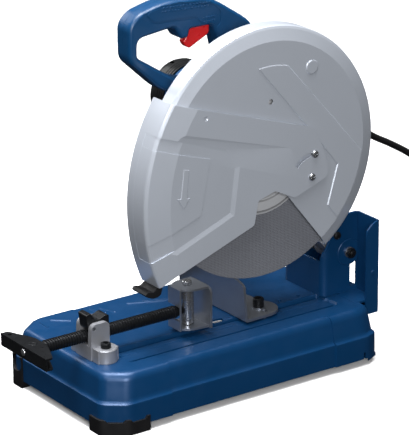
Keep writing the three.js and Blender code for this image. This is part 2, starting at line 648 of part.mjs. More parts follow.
// ---------------------------------------------------------------- wheel and its clamping
function addWheel() {
  const { radius, thickness, bore, x, y, z } = WHEEL;
  const half = thickness / 2;
  add("cutting_wheel", ring(bore / 2 + 0.2, radius, y - half, y + half, x, z, 72), abrasive);
  add("wheel_label", ring(30.3, 85, y - half - 0.7, y - half - GAP, x, z, 40), paper);
  const flange = (y0, y1, hole) => ring(hole, 30, y0, y1, x, z, 28);
  add("inner_flange", ring(14.3, 38, -73.8, -69.5, x, z, 28), steel);
  add("outer_flange", flange(y - half - 5, y - half - GAP, 6), steel);
  const head = plateY(hexagon(x, z, 17), -89, -82.8);
  add("clamp_bolt", join(head, rod("y", 4.8, -83, -67, [x, z], 16)), black);
}

// ---------------------------------------------------------------- guards
function fixedGuard() {
  const { face, edge, back, flat, radius, sheet } = GUARD;
  const { x, z } = WHEEL;
  const drum = turned(
    [
      [26, face], [flat, face], [radius - 3, edge - 1.5], [radius, edge + 2.5], [radius, back],
      [26, back], [26, back - sheet], [radius - sheet, back - sheet], [radius - sheet, edge + 3],
      [radius - 4, edge], [flat - 0.6, face + sheet], [26, face + sheet], [26, face],
    ],
    x, z, 64,
  );
  const disc = turned([[0, face], [30, face], [30, face + sheet], [0, face + sheet], [0, face]], x, z, 40);
  const reach = 300;
  const rim = (angle) => [x + reach * Math.cos(degrees(angle)), z + reach * Math.sin(degrees(angle))];
  const opening = plateY(
    [[x + 2, z - 22], rim(-54), rim(-85), rim(-130), rim(-172), [x - 36, z - 22]], face - 5,
    back + 5,
  );
  const holes = rod("y", 3.2, face - 2, face + 4, [SLOT_SCREW.x, SLOT_SCREW.z], 16);
  const pivotHole = rod("y", 3.2, face - 2, face + 4, [SHIELD_PIVOT.x, SHIELD_PIVOT.z], 16);
  const sightHole = rod("y", 4, face - 2, face + 4, [72.2, 410.4], 16);
  const hub = rod("y", 21, back - 3, back + 1, [x, z], 24);
  return cut(join(drum, disc), opening, holes, pivotHole, sightHole, hub);
}

function swingShield() {
  const { face, rimBack, flat, radius, sheet } = SHIELD;
  const profile = [
    [0, face], [flat, face], [radius - 3.5, face + 7], [radius, face + 12], [radius, rimBack],
    [radius - sheet, rimBack], [radius - sheet, face + 12.5], [radius - 4.4, face + 8.4],
    [flat - 0.2, face + sheet], [0, face + sheet], [0, face],
  ];
  const bowl = turned(profile, SHIELD.x, SHIELD.z, 80);
  const outline = [
    [-170, 452.5], [-114.6, 444.6], [140.8, 362.3], [158.5, 331], [167.5, 302.7], [167.7, 284.9], [110.1, 264.5], [76.3, 281.9],
    [47.2, 273.5], [40.3, 239], [-88.8, 192.6], [-170, 145.7],
  ];
  const slotRadius = Math.hypot(SLOT_SCREW.x - SHIELD_PIVOT.x, SLOT_SCREW.z - SHIELD_PIVOT.z);
  const start = Math.atan2(SLOT_SCREW.z - SHIELD_PIVOT.z, SLOT_SCREW.x - SHIELD_PIVOT.x);
  const sweepAngle = degrees(62);
  const slot = [
    ...circle(SHIELD_PIVOT.x, SHIELD_PIVOT.z, slotRadius + 3.6, 10, start - 0.1, start + sweepAngle),
    ...circle(
      SHIELD_PIVOT.x, SHIELD_PIVOT.z, slotRadius - 3.6, 10, start - 0.1, start + sweepAngle,
    ).reverse(),
  ];
  const bore = rod("y", 3.4, face - 3, face + 4, [SHIELD_PIVOT.x, SHIELD_PIVOT.z], 16);
  return cut(
    bowl.intersect(plateY(outline, face - 1, rimBack + 1)), plateY(slot, face - 3, face + 4), bore,
  );
}

function guardBumper() {
  // A rubber strip along the lower end of the shield's rim, with its nose outward.
  const outline = [
    [-121, 173.3], [-107.5, 181.2], [-106.5, 175], [-109, 168], [-114, 165], [-122, 164.5],
    [-131, 168], [-134, 172], [-131, 175],
  ];
  return plateY(outline, SHIELD.face + 12, SHIELD.rimBack - 5);
}

function guardScrew({ x, z }) {
  const head = rod("y", 5.6, SHIELD.face - 3.6, SHIELD.face - GAP, [x, z], 20);
  return join(head, rod("y", 2.9, SHIELD.face - 1, GUARD.face + 5, [x, z], 14));
}

function addGuards() {
  add("fixed_guard", fixedGuard(), silver);
  add("swing_guard", swingShield(), silver);
  add("guard_bumper", guardBumper(), rubber);
  add("guard_pivot_screw", guardScrew(SHIELD_PIVOT), steel);
  add("guard_slot_screw", guardScrew(SLOT_SCREW), steel);
}

// ---------------------------------------------------------------- cord
function addCord() {
  const { radius, coilInner, coilOuter, coilHeight, coilX, coilY } = CORD;
  const exitX = MOTOR.x + 70;
  const exitZ = MOTOR.z + 8;
  const boot = rod("x", 7.7, MOTOR.x + 45.8, exitX, [CORD.y, exitZ], 20, 6.4);
  add("cord_boot", boot, rubber);
  const route = [
    [exitX + GAP, 30, exitZ],
    [exitX + 12, 30, exitZ],
    [exitX + 45, 30, exitZ - 7],
    [250, 30, 340],
    [300, 30, 308],
    [344, 30, 276.6],
    [380, 30, 256.5],
    [415, 30, 235],
    [452, 24, 205],
    [484, 8, 165],
    [505, -14, 115],
    [515, -38, 65],
    [519.5, -62, 30],
    [519.8, -80, 12],
    [519.8, -100, 5.6],
  ];
  add("power_cord", sweep(route, radius, 8, 42), rubber);
  const profile = [
    [coilInner, 0], [coilOuter, 0], [coilOuter, coilHeight], [coilInner, coilHeight],
    [coilInner, 0],
  ];
  const points = profile.map(([r, h]) => new THREE.Vector2(r, h));
  const coil = solid(new THREE.LatheGeometry(points, 32).rotateX(Math.PI / 2).translate(coilX, coilY, 0));
  add("cord_coil", coil, rubber);
  add("mains_plug", mainsPlug(), rubber);
}

function mainsPlug() {
  // Lies along X on the near side of the coil, its pins towards the front.
  const { coilInner, coilOuter, coilHeight, coilX, coilY } = CORD;
  const y = coilY - (coilInner + coilOuter) / 2;
  const z = coilHeight + GAP + 17;
  const profile = [[0, 0], [6.5, 0], [8, 28], [14, 33], [17, 42], [17, 66], [15, 68], [0, 68]];
  const points = profile.map(([r, h]) => new THREE.Vector2(r, h));
  const body = solid(new THREE.LatheGeometry(points, 24).rotateZ(Math.PI / 2).translate(coilX + 34, y, z));
  const pins = [-9.5, 9.5].map((side) => rod("x", 2.4, coilX - 53, coilX - 30, [y + side, z], 12));
  return join(body, ...pins);
}

addBase();
addPivot();
addVise();
addFence();
addMotor();
addHandle();
addWheel();
addGuards();
addCord();

// The origin is moved to the floor under the middle of the tool, its cord left out.
const extent = new THREE.Box3();
for (const mesh of saw.children) if (!CORD_NODES.includes(mesh.name)) extent.expandByObject(mesh);
const middle = extent.getCenter(new THREE.Vector3());
saw.position.set(-middle.x, -middle.y, 0);

export default saw;
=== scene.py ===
"""Abrasive chop saw: camera, light, cord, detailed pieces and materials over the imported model.

Lengths in the helpers are millimetres of the part: +X runs to the rear pivot, +Y from the wheel to
the motor and +Z up from the floor. An outline pushed along x is a list of (y, z), along y of (x, z)
and along z of (x, y).
"""
import bmesh
import bpy
import json
import math
from mathutils import Matrix, Vector


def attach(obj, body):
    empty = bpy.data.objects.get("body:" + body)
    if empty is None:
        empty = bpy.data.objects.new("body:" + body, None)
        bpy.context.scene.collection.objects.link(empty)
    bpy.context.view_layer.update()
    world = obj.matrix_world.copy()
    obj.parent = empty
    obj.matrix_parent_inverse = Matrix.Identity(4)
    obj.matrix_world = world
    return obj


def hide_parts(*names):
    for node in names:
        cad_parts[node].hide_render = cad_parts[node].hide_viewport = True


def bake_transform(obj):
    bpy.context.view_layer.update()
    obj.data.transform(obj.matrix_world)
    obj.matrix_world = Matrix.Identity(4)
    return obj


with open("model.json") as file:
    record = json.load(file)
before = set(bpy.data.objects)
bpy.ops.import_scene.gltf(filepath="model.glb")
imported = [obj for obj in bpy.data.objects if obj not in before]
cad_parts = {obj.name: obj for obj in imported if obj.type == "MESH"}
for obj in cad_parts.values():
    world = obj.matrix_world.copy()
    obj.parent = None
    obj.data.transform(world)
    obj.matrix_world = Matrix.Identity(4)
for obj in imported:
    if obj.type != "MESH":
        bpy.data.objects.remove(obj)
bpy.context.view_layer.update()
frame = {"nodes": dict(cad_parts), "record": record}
NODES = frame["nodes"]
SHIFT = (24.4, -7.75)  # added to x and y of the part to reach the row's frame
PAINT = {}

# Centres seen from the side, as (x, z).
WHEEL = (67.6, 330.2)
SHIELD = (130.5, 286.5)
MOTOR = (81.0, 365.0)
PIVOT = (236.0, 144.5)
STOP = (214.5, 174.2)
SHIELD_PIVOT = (139.6, 289.3)
SLOT_SCREW = (144.6, 322.1)
PAWL = (-201.0, 130.0)
VISE = (-38.0, 115.0)  # the spindle's line, as (y, z)
COIL = (444, -74)  # the cord's coil, as (x, y)
LEAD = (30, MOTOR[1] + 8)  # where the cord leaves the motor, as (y, z)

TABLE = 84.0
SEAT = TABLE + 0.3  # the height of what stands on the table
GUARD_FACE = -91.0  # y of the fixed guard's flat face
SHIELD_FACE = -96.0  # and of the swinging guard's
HALF_WIDTH = 133.5  # of the base


def here(p):
    """A point of the part, in millimetres, as one of the row's frame, in metres."""
    return Vector(((p[0] + SHIFT[0]) / 1000, (p[1] + SHIFT[1]) / 1000, p[2] / 1000))


def there(p):
    """The way back from here()."""
    return Vector((p[0] * 1000 - SHIFT[0], p[1] * 1000 - SHIFT[1], p[2] * 1000))


# ---- materials
def material(name, color, metallic=0.0, roughness=0.5, coat=0.0, specular=0.5):
    """A plain surface, kept in PAINT under its name; gives the material and its shader's inputs."""
    made = bpy.data.materials.new(name)
    made.use_nodes = True
    shader = made.node_tree.nodes["Principled BSDF"]
    for key, value in (
        ("Base Color", (*color, 1)), ("Metallic", metallic), ("Roughness", roughness),
        ("Coat Weight", coat), ("Coat Roughness", 0.25), ("Specular IOR Level", specular),
    ):
        shader.inputs[key].default_value = value
    PAINT[name] = made
    return made, shader.inputs


def link(made, a, b):
    made.node_tree.links.new(a, b)


def give(made, socket, value):
    """Feeds an input from another node's output, or sets its value."""
    if isinstance(value, bpy.types.NodeSocket):
        link(made, value, socket)
    else:
        socket.default_value = value


def node(made, kind, output, **values):
    """One output of a new shader node; each value is for a setting or an input of that name."""
    item = made.node_tree.nodes.new(kind)
    for key, value in values.items():
        if hasattr(item, key):
            setattr(item, key, value)
        else:
            give(made, item.inputs[key.replace("_", " ")], value)
    return item.outputs[output]


def maths(made, operation, *values, kind="ShaderNodeMath"):
    """Arithmetic on values, each a number or another node's output."""
    item = made.node_tree.nodes.new(kind)
    item.operation = operation
    for value, socket in zip(values, item.inputs):
        give(made, socket, value)
    return item.outputs["Value" if kind == "ShaderNodeMath" or operation == "LENGTH" else "Vector"]


def position(made):
    """The place on the object in metres."""
    return node(made, "ShaderNodeTexCoord", "Object")


def noise(made, vector, scale, detail=3.0, rough=0.5):
    values = {"Scale": scale, "Detail": detail, "Roughness": rough}
    return node(made, "ShaderNodeTexNoise", "Fac", Vector=vector, **values)


def bands(made, vector, way, scale, **values):
    return node(made, "ShaderNodeTexWave", "Fac", bands_direction=way, Vector=vector, Scale=scale, **values)


def spread(made, value, low, high, start=0.3, stop=0.7):
    """Maps the range from start to stop onto the range from low to high."""
    ends = {"From_Min": start, "From_Max": stop, "To_Min": low, "To_Max": high}
    return node(made, "ShaderNodeMapRange", "Result", Value=value, **ends)


def mixed(made, factor, dark, light):
    ends = {"A": (*dark, 1), "B": (*light, 1)}
    return node(made, "ShaderNodeMix", "Result", data_type="RGBA", Factor=factor, **ends)


def bump(made, height, strength, distance, **chain):
    chain |= {"Strength": strength, "Distance": distance}
    return node(made, "ShaderNodeBump", "Normal", Height=height, **chain)


def dress(name, color, grain, depth, metallic=0.0, roughness=0.5, vary=0.12, coat=0.0, spots=9.0,
          gloss_vary=0.08, specular=0.5):
    """A grained surface, its depth in micrometres, with slow patches in its colour and uneven gloss."""
    made, surface = material(name, color, metallic, roughness, coat, specular)
    vector = position(made)
    patches = spread(made, noise(made, vector, spots), 0, 1)
    dark = tuple(c * (1 - vary) for c in color)
    light = tuple(min(1, c * (1 + vary)) for c in color)
    gloss = spread(made, noise(made, vector, spots * 6), roughness - gloss_vary, roughness + gloss_vary)
    link(made, mixed(made, patches, dark, light), surface["Base Color"])
    link(made, gloss, surface["Roughness"])
    link(made, bump(made, noise(made, vector, grain, 4.0, 0.6), 0.5, depth / 1e6), surface["Normal"])
    return made, surface


def abrasive_material():
    """Resin-bonded grit under a woven mesh."""
    made, surface = material("abrasive", (0.05, 0.054, 0.064), 0.0, 0.85)
    vector = position(made)
    threads = [bands(made, vector, way, 130, Distortion=0.6, Detail=1.0) for way in "XZ"]
    weave = maths(made, "MAXIMUM", *threads)
    grit = noise(made, vector, 900, 3.0, 0.7)
    shade = maths(made, "MULTIPLY", weave, spread(made, grit, 0.6, 1.0))
    color = mixed(made, shade, (0.06, 0.064, 0.075), (0.21, 0.22, 0.25))
    link(made, color, surface["Base Color"])
    fine = bump(made, grit, 0.6, 0.0003)
    link(made, bump(made, weave, 0.8, 0.0004, Normal=fine), surface["Normal"])


def label_material():
    """A blank printed ring in shades of grey that change with the distance from its centre."""
    made, surface = material("label", (0.45, 0.47, 0.5), 0.1, 0.38)
    vector = position(made)
    centre = here((WHEEL[0], -76, WHEEL[1]))
    offset = maths(made, "SUBTRACT", vector, centre, kind="ShaderNodeVectorMath")
    flat = maths(made, "MULTIPLY", offset, (1, 0, 1), kind="ShaderNodeVectorMath")
    length = maths(made, "LENGTH", flat, kind="ShaderNodeVectorMath")
    ramp = made.node_tree.nodes.new("ShaderNodeValToRGB")
    ramp.color_ramp.interpolation = "CONSTANT"
    stops = [
        (0.0, 0.36), (0.40, 0.62), (0.43, 0.45), (0.74, 0.6), (0.76, 0.34), (0.79, 0.56), (0.94, 0.24),
        (0.97, 0.5),
    ]
    while len(ramp.color_ramp.elements) < len(stops):
        ramp.color_ramp.elements.new(0.5)
    for element, (where, grey) in zip(ramp.color_ramp.elements, stops):
        element.position = where
        element.color = (grey, grey * 1.02, grey * 1.06, 1)
    label_radius = 0.085
    link(made, maths(made, "DIVIDE", length, label_radius), ramp.inputs["Fac"])
    link(made, ramp.outputs["Color"], surface["Base Color"])
    link(made, bump(made, noise(made, vector, 400), 0.2, 0.0002), surface["Normal"])


def winding_material():
    """Copper wire, its turns as bands."""
    made, surface = dress("winding", (0.45, 0.2, 0.09), 500, 200, 0.8, 0.35)
    link(made, bump(made, bands(made, position(made), "Y", 250), 0.8, 0.0005), surface["Normal"])


def make_materials():
    """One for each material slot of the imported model; the label paper's is called label."""
    dress("blue_paint", (0.003, 0.04, 0.122), 700, 5, 0.2, 0.36, 0.04, specular=0.4)
    dress("blue_plastic", (0.003, 0.042, 0.12), 700, 10, 0.0, 0.38, 0.04, specular=0.45)
    dress("guard_metal", (0.53, 0.57, 0.64), 600, 2, 0.4, 0.3, 0.02, gloss_vary=0.02)
    dress("zinc_plate", (0.27, 0.29, 0.33), 600, 5, 0.8, 0.32, 0.05, spots=30, gloss_vary=0.04)
    dress("cast_metal", (0.34, 0.35, 0.38), 500, 20, 0.6, 0.42, 0.05, spots=40, gloss_vary=0.04)
    dress("black_oxide", (0.012, 0.013, 0.015), 900, 20, 0.5, 0.34, 0.2, spots=40, specular=0.4)
    dress("plain_steel", (0.42, 0.43, 0.45), 500, 2, 0.9, 0.26, 0.04, spots=30, gloss_vary=0.02)
    dress("bush_metal", (0.4, 0.3, 0.15), 900, 30, 0.9, 0.45)
    dress("rotor_iron", (0.3, 0.22, 0.16), 700, 50, 0.8, 0.45, 0.2, spots=60)
    winding_material()
    dress("black_plastic", (0.006, 0.0065, 0.007), 1300, 20, 0.0, 0.38, 0.2, specular=0.4)
    dress("red_plastic", (0.6, 0.012, 0.012), 600, 4, 0.0, 0.3, 0.04, coat=0.3)
    dress("black_rubber", (0.006, 0.006, 0.007), 900, 30, 0.0, 0.55, 0.2, specular=0.3)
    abrasive_material()
    label_material()


# ---- outlines
def rect(u0, u1, v0, v1):
    return [(u0, v0), (u1, v0), (u1, v1), (u0, v1)]


def circle(x, y, radius, sides=32, start=0.0, stop=360.0):
    """Points round a circle, or along an arc with both its ends."""
    whole = abs(stop - start - 360) < 1e-6
    count = sides if whole else sides + 1
    steps = [math.radians(start + (stop - start) * i / sides) for i in range(count)]
    return [(x + radius * math.cos(a), y + radius * math.sin(a)) for a in steps]


def corners_of(outline):
    """Each point of a closed outline between the one before it and the one after it."""
    points = [Vector(p) for p in outline]
    return zip(points[-1:] + points[:-1], points, points[1:] + points[:1])


def inset(outline, amount):
    """The outline drawn in by an amount on every side."""
    area = sum(a[0] * b[1] - b[0] * a[1] for a, b in zip(outline, outline[1:] + outline[:1]))
    turn = 1 if area > 0 else -1
    result = []
    for p, q, r in corners_of(outline):
        u, v = (q - p).normalized(), (r - q).normalized()
        nu, nv = Vector((-u.y, u.x)) * turn, Vector((-v.y, v.x)) * turn
        middle = nu + nv
        middle = middle / max(0.25, middle.dot(nu)) if middle.length > 1e-6 else nu
        result.append(tuple(q + middle * amount))
    return result


def rounded(outline, radius, steps=5):
    """The outline with its corners rounded; radius may be one number or one per corner."""
    radii = radius if isinstance(radius, list) else [radius] * len(outline)
    result = []
    for (p, q, s), r in zip(corners_of(outline), radii):
        u, v = (p - q), (s - q)
        reach = min(r, u.length * 0.45, v.length * 0.45)
        if reach < 0.05:
            result.append(tuple(q))
            continue
        a, b = q + u.normalized() * reach, q + v.normalized() * reach
        for t in (k / steps for k in range(steps + 1)):
            result.append(tuple(a * (1 - t) ** 2 + q * 2 * t * (1 - t) + b * t * t))
    return result


# ---- solids
def seat(axis, u, v, h):
    """A point from its place on an outline and its height along the axis."""
    return {"x": (h, u, v), "y": (u, h, v), "z": (u, v, h)}[axis]


def cover(bm, rows):
    """Faces between neighbouring rows of vertices."""
    n = len(rows[0])
    for a, b in zip(rows, rows[1:]):
        for k in range(n):
            bm.faces.new((a[k], a[(k + 1) % n], b[(k + 1) % n], b[k]))


def cap_ends(bm, rows):
    bm.faces.new(list(reversed(rows[0])))
    bm.faces.new(rows[-1])


def outward(bm):
    bmesh.ops.recalc_face_normals(bm, faces=bm.faces)
    return bm


def lathe(profile, centre, sides=160, axis="y"):
    """Turns a closed profile of (radius, height) about a line along the axis, through centre."""
    bm = bmesh.new()
    rings = []
    for i in range(sides):
        c, s = math.cos(2 * math.pi * i / sides), math.sin(2 * math.pi * i / sides)
        ring = [seat(axis, centre[0] + r * c, centre[1] + r * s, h) for r, h in profile]
        rings.append([bm.verts.new(p) for p in ring])
    cover(bm, rings + rings[:1])
    bmesh.ops.remove_doubles(bm, verts=bm.verts, dist=1e-4)
    bmesh.ops.dissolve_degenerate(bm, dist=1e-4, edges=bm.edges)
    return outward(bm)


def rod(axis, radius, low, high, centre, sides=48, chamfer=0.6):
    c = min(chamfer, radius / 3, (high - low) / 3)
    flat = radius - c
    profile = [(0, low), (flat, low), (radius, low + c), (radius, high - c), (flat, high), (0, high)]
    return lathe(profile, centre, sides, axis)


def plate(outline, axis, low, high):
    """An outline pushed along an axis."""
    bm = bmesh.new()
    rows = [[bm.verts.new(seat(axis, u, v, h)) for u, v in outline] for h in (low, high)]
    bm.faces.new(rows[0])
    bm.faces.new(list(reversed(rows[1])))
    cover(bm, rows)
    return outward(bm)


def box(x0, x1, y0, y1, z0, z1):
    return plate(rect(x0, x1, z0, z1), "y", y0, y1)


def stack(axis, *layers):
    """A solid through outlines of equal length, each given with its height along the axis."""
    bm = bmesh.new()
    rows = [[bm.verts.new(seat(axis, u, v, h)) for u, v in outline] for outline, h in layers]
    cover(bm, rows)
    cap_ends(bm, rows)
    bmesh.ops.connect_verts_nonplanar(bm, faces=bm.faces, angle_limit=0.0005)
    return outward(bm)


def raised(outline, face, height, slope):
    """A low plateau on a face whose outward side is -Y, sunk 0.4 mm into it."""
    return stack("y", (outline, face + 0.4), (outline, face), (inset(outline, slope), face - height))


def sunk(top, floor, face, depth):
    """A tool for a pressed area of such a face, from its outline on the face and at its floor."""
    return stack("y", (top, face - 20), (top, face), (floor, face + depth), (floor, -60))


def spoke(centre, angle, near, far, half, low, high):
    """A block along y whose section lies between two radii, at an angle in degrees about a centre."""
    c, s = math.cos(math.radians(angle)), math.sin(math.radians(angle))
    corners = ((near, half), (near, -half), (far, -half), (far, half))
    outline = [(centre[0] + r * c - t * s, centre[1] + r * s + t * c) for r, t in corners]
    return plate(outline, "y", low, high)


def cross_recess(spot, low, high):
    """The two crossed slots of a screw's drive."""
    x, z = spot
    return [box(x - a, x + a, low, high, z - b, z + b) for a, b in ((3, 0.6), (0.6, 3))]


def sweep(points, radius, sides):
    """A tube along points."""
    bm = bmesh.new()
    points = [Vector(p) for p in points]
    turns = [2 * math.pi * k / sides for k in range(sides)]
    rows = []
    normal = None
    for i, p in enumerate(points):
        tangent = (points[min(i + 1, len(points) - 1)] - points[max(i - 1, 0)]).normalized()
        if normal is None:
            normal = tangent.orthogonal().normalized()
        normal = (normal - tangent * normal.dot(tangent)).normalized()
        side = tangent.cross(normal)
        rows.append([bm.verts.new(p + (normal * math.cos(a) + side * math.sin(a)) * radius) for a in turns])
    cover(bm, rows)
    cap_ends(bm, rows)
    return outward(bm)


def smooth_path(points, step):
    """A centripetal Catmull-Rom line through points, resampled at an even step."""
    pts = [Vector(p) for p in points]
    pts = [pts[0] * 2 - pts[1]] + pts + [pts[-1] * 2 - pts[-2]]
    fine = []
    for p0, p1, p2, p3 in zip(pts, pts[1:], pts[2:], pts[3:]):
        knots = [0.0]
        for a, b in ((p0, p1), (p1, p2), (p2, p3)):
            knots.append(knots[-1] + max(1e-6, (b - a).length) ** 0.5)

        def between(a, b, first, last, t):
            start, stop = knots[first], knots[last]
            return a * ((stop - t) / (stop - start)) + b * ((t - start) / (stop - start))

        for t in (knots[1] + (knots[2] - knots[1]) * k / 24 for k in range(24)):
            row = (p0, p1, p2, p3)
            for level in (1, 2):
                row = [between(a, b, i, i + level, t) for i, (a, b) in enumerate(zip(row, row[1:]))]
            fine.append(between(*row, 1, 2, t))
    fine.append(pts[-2])
    result, carried = [fine[0]], 0.0
    total = sum((b - a).length for a, b in zip(fine, fine[1:]))
    count = max(2, round(total / step))
    each = total / count
    for a, b in zip(fine, fine[1:]):
        span = (b - a).length
        while carried + span >= each and len(result) < count:
            a = a.lerp(b, (each - carried) / span)
            result.append(a.copy())
            span = (b - a).length
            carried = 0.0
        carried += span
    result.append(fine[-1])
    return result


# ---- objects
def new_object(name, data):
    made = bpy.data.objects.new(name, data)
    bpy.context.scene.collection.objects.link(made)
    return made


def solid(name, bm):
    """An object, in row metres, from a bmesh in part millimetres."""
    for vert in bm.verts:
        vert.co = here(vert.co)
    mesh = bpy.data.meshes.new(name)
    bm.to_mesh(mesh)
    bm.free()
    return new_object(name, mesh)


def merge(first, *parts):
    """Bmeshes laid together in the first."""
    for part in parts:
        mesh = bpy.data.meshes.new("part")
        part.to_mesh(mesh)
        first.from_mesh(mesh)
        part.free()
        bpy.data.meshes.remove(mesh)
    return first


def boolean(obj, operation, *tools):
    """Applies cuts or joins to obj; the tools are bmeshes and are used up."""
    for bm in tools:
        tool = solid("tool", bm)
        modifier = obj.modifiers.new("cut", "BOOLEAN")
        modifier.operation = operation
        modifier.solver = "MANIFOLD"
        modifier.object = tool
        graph = bpy.context.evaluated_depsgraph_get()
        result = bpy.data.meshes.new_from_object(obj.evaluated_get(graph))
        obj.modifiers.clear()
        old = obj.data
        obj.data = result
        bpy.data.meshes.remove(old)
        bpy.data.objects.remove(tool)
    return obj


def join(obj, *tools):
    return boolean(obj, "UNION", *tools)


def cut(obj, *tools):
    return boolean(obj, "DIFFERENCE", *tools)


def keep(obj, *tools):
    return boolean(obj, "INTERSECT", *tools)


def taken(other):
    """Another object's mesh as a tool, with the object removed."""
    bm = bmesh.new()
    bm.from_mesh(other.data)
    for vert in bm.verts:
        vert.co = there(vert.co)
    bpy.data.objects.remove(other)
    return bm


def hex_bolt(name, axis, centre, profile, sides, shank):
    """A hexagon with its corners turned off by a profile, on a shank of (radius, low, high)."""
    heights = [h for r, h in profile]
    hexagon = circle(*centre, max(r for r, h in profile), 6)
    made = solid(name, plate(hexagon, axis, min(heights), max(heights)))
    keep(made, lathe(profile, centre, sides, axis))
    return join(made, rod(axis, *shank, centre, 32))


def add_edge(obj, width, angle, segments=2):
    """A small rounding of the edges that are sharper than an angle."""
    bevel = obj.modifiers.new("edge", "BEVEL")
    bevel.width = width / 1000
    bevel.segments = segments
    bevel.limit_method = "ANGLE"
    bevel.angle_limit = math.radians(angle)
    bevel.harden_normals = True


def soften(obj, width, angle=32, segments=2, sharp=None):
    """Rounds the sharp edges by a small modifier, and shades the rest smooth."""
    obj.data.shade_smooth()
    if width:
        add_edge(obj, width, angle, segments)
        weighted = obj.modifiers.new("normals", "WEIGHTED_NORMAL")
        weighted.keep_sharp = True
    obj.data.set_sharp_from_angle(angle=math.radians(sharp or (80 if width else angle)))


def mirror(made):
    """Turns a piece over the plane between the near and far sides."""
    middle = SHIFT[1] / 1000
    for vert in made.data.vertices:
        vert.co.y = 2 * middle - vert.co.y
    made.data.flip_normals()


def piece(name, shape, paint, body, edge=0.4, angle=32, cuts=(), segments=2, sharp=None, nodes=None):
    """A finished piece on a body, in place of the CAD node of its own name unless nodes says otherwise."""
    made = solid(name, shape) if isinstance(shape, bmesh.types.BMesh) else shape
    nodes = [name] if nodes is None else nodes
    made.name = name
    cut(made, *cuts)
    soften(made, edge, angle, segments, sharp)
    made.data.materials.clear()
    made.data.materials.append(PAINT[paint])
    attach(made, body)
    if nodes:
        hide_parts(*nodes)
    return made


# ---- camera, light and floor
def add_camera(scene):
    camera = new_object("camera", bpy.data.cameras.new("camera"))
    right = Vector((0.81634, -0.57752, -0.0073))
    up = Vector((0.20404, 0.27655, 0.93909))
    back = Vector((-0.54033, -0.76811, 0.34359))
    turn = Matrix((right, up, back)).transposed().to_4x4()
    camera.matrix_world = Matrix.Translation(here((-2143.51, -3083.54, 1603.92))) @ turn
    camera.data.lens = 236.55
    camera.data.sensor_width = 36
    camera.data.shift_x = -0.00275
    camera.data.shift_y = 0.00172
    camera.data.clip_end = 50
    scene.camera = camera


def add_floor():
    """A pale floor that takes shadows and neither lights the saw from below nor shows in it."""
    floor = new_object("floor", bpy.data.meshes.new("floor"))
    bm = bmesh.new()
    bmesh.ops.create_grid(bm, x_segments=1, y_segments=1, size=12)
    bm.to_mesh(floor.data)
    floor.location.z = -0.0005
    material("floor", (0.93, 0.93, 0.94), 0, 0.9)
    floor.data.materials.append(PAINT["floor"])
    floor.visible_diffuse = False
    floor.visible_glossy = False


def add_light(scene):
    """A sky that is brighter above than below, and four soft lamps."""
    world = bpy.data.worlds.new("world")
    world.use_nodes = True
    direction = node(world, "ShaderNodeTexCoord", "Generated")
    upward = node(world, "ShaderNodeSeparateXYZ", "Z", Vector=direction)
    sky = spread(world, upward, 0.34, 0.85, -0.7, 0.15)
    link(world, sky, world.node_tree.nodes["Background"].inputs["Strength"])
    scene.world = world
    for name, place, target_height, size, power in (
        ("top", (-0.1, 0.1, 3.0), 0.1, 1.8, 215),
        ("front", (-1.7, -3.2, 1.5), 0.25, 1.4, 112),
        ("key", (-2.0, -1.3, 2.2), 0.3, 0.9, 22),
        ("back", (-0.6, 2.6, 1.8), 0.3, 1.4, 25),
    ):
        lamp = new_object(name, bpy.data.lights.new(name, "AREA"))
        lamp.data.size = size
        lamp.data.energy = power
        lamp.location = place
        to_lamp = Vector(place) - Vector((0, 0, target_height))
        lamp.rotation_euler = to_lamp.to_track_quat("Z", "Y").to_euler()


def look():
    scene = bpy.context.scene
    add_camera(scene)
    add_floor()
    add_light(scene)
    scene.view_settings.view_transform = "Standard"


# ---- guards
def shield_profile(depth):
    """The pressed face and rim of the swinging guard, set back by a depth."""
    face, rim = SHIELD_FACE + depth, 267 - depth * 0.12
    return [
        (0, face), (229.5, face), (231, face + 0.3), (rim - 4.6, face + 6.5), (rim - 2, face + 7.7),
        (rim - 0.5, face + 9.4), (rim, face + 12), (rim, -45), (0, -45),
    ]


def shield_hollow(depth):
    """The space behind that face, 1.5 mm further in."""
    face, rim = SHIELD_FACE + 1.5 + depth, 265.5 - depth * 0.12
    return [
        (0, face), (229.2, face), (rim - 4.8, face + 6.8), (rim - 1.4, face + 8.6), (rim, face + 12.5),
        (rim, -40), (0, -40),
    ]


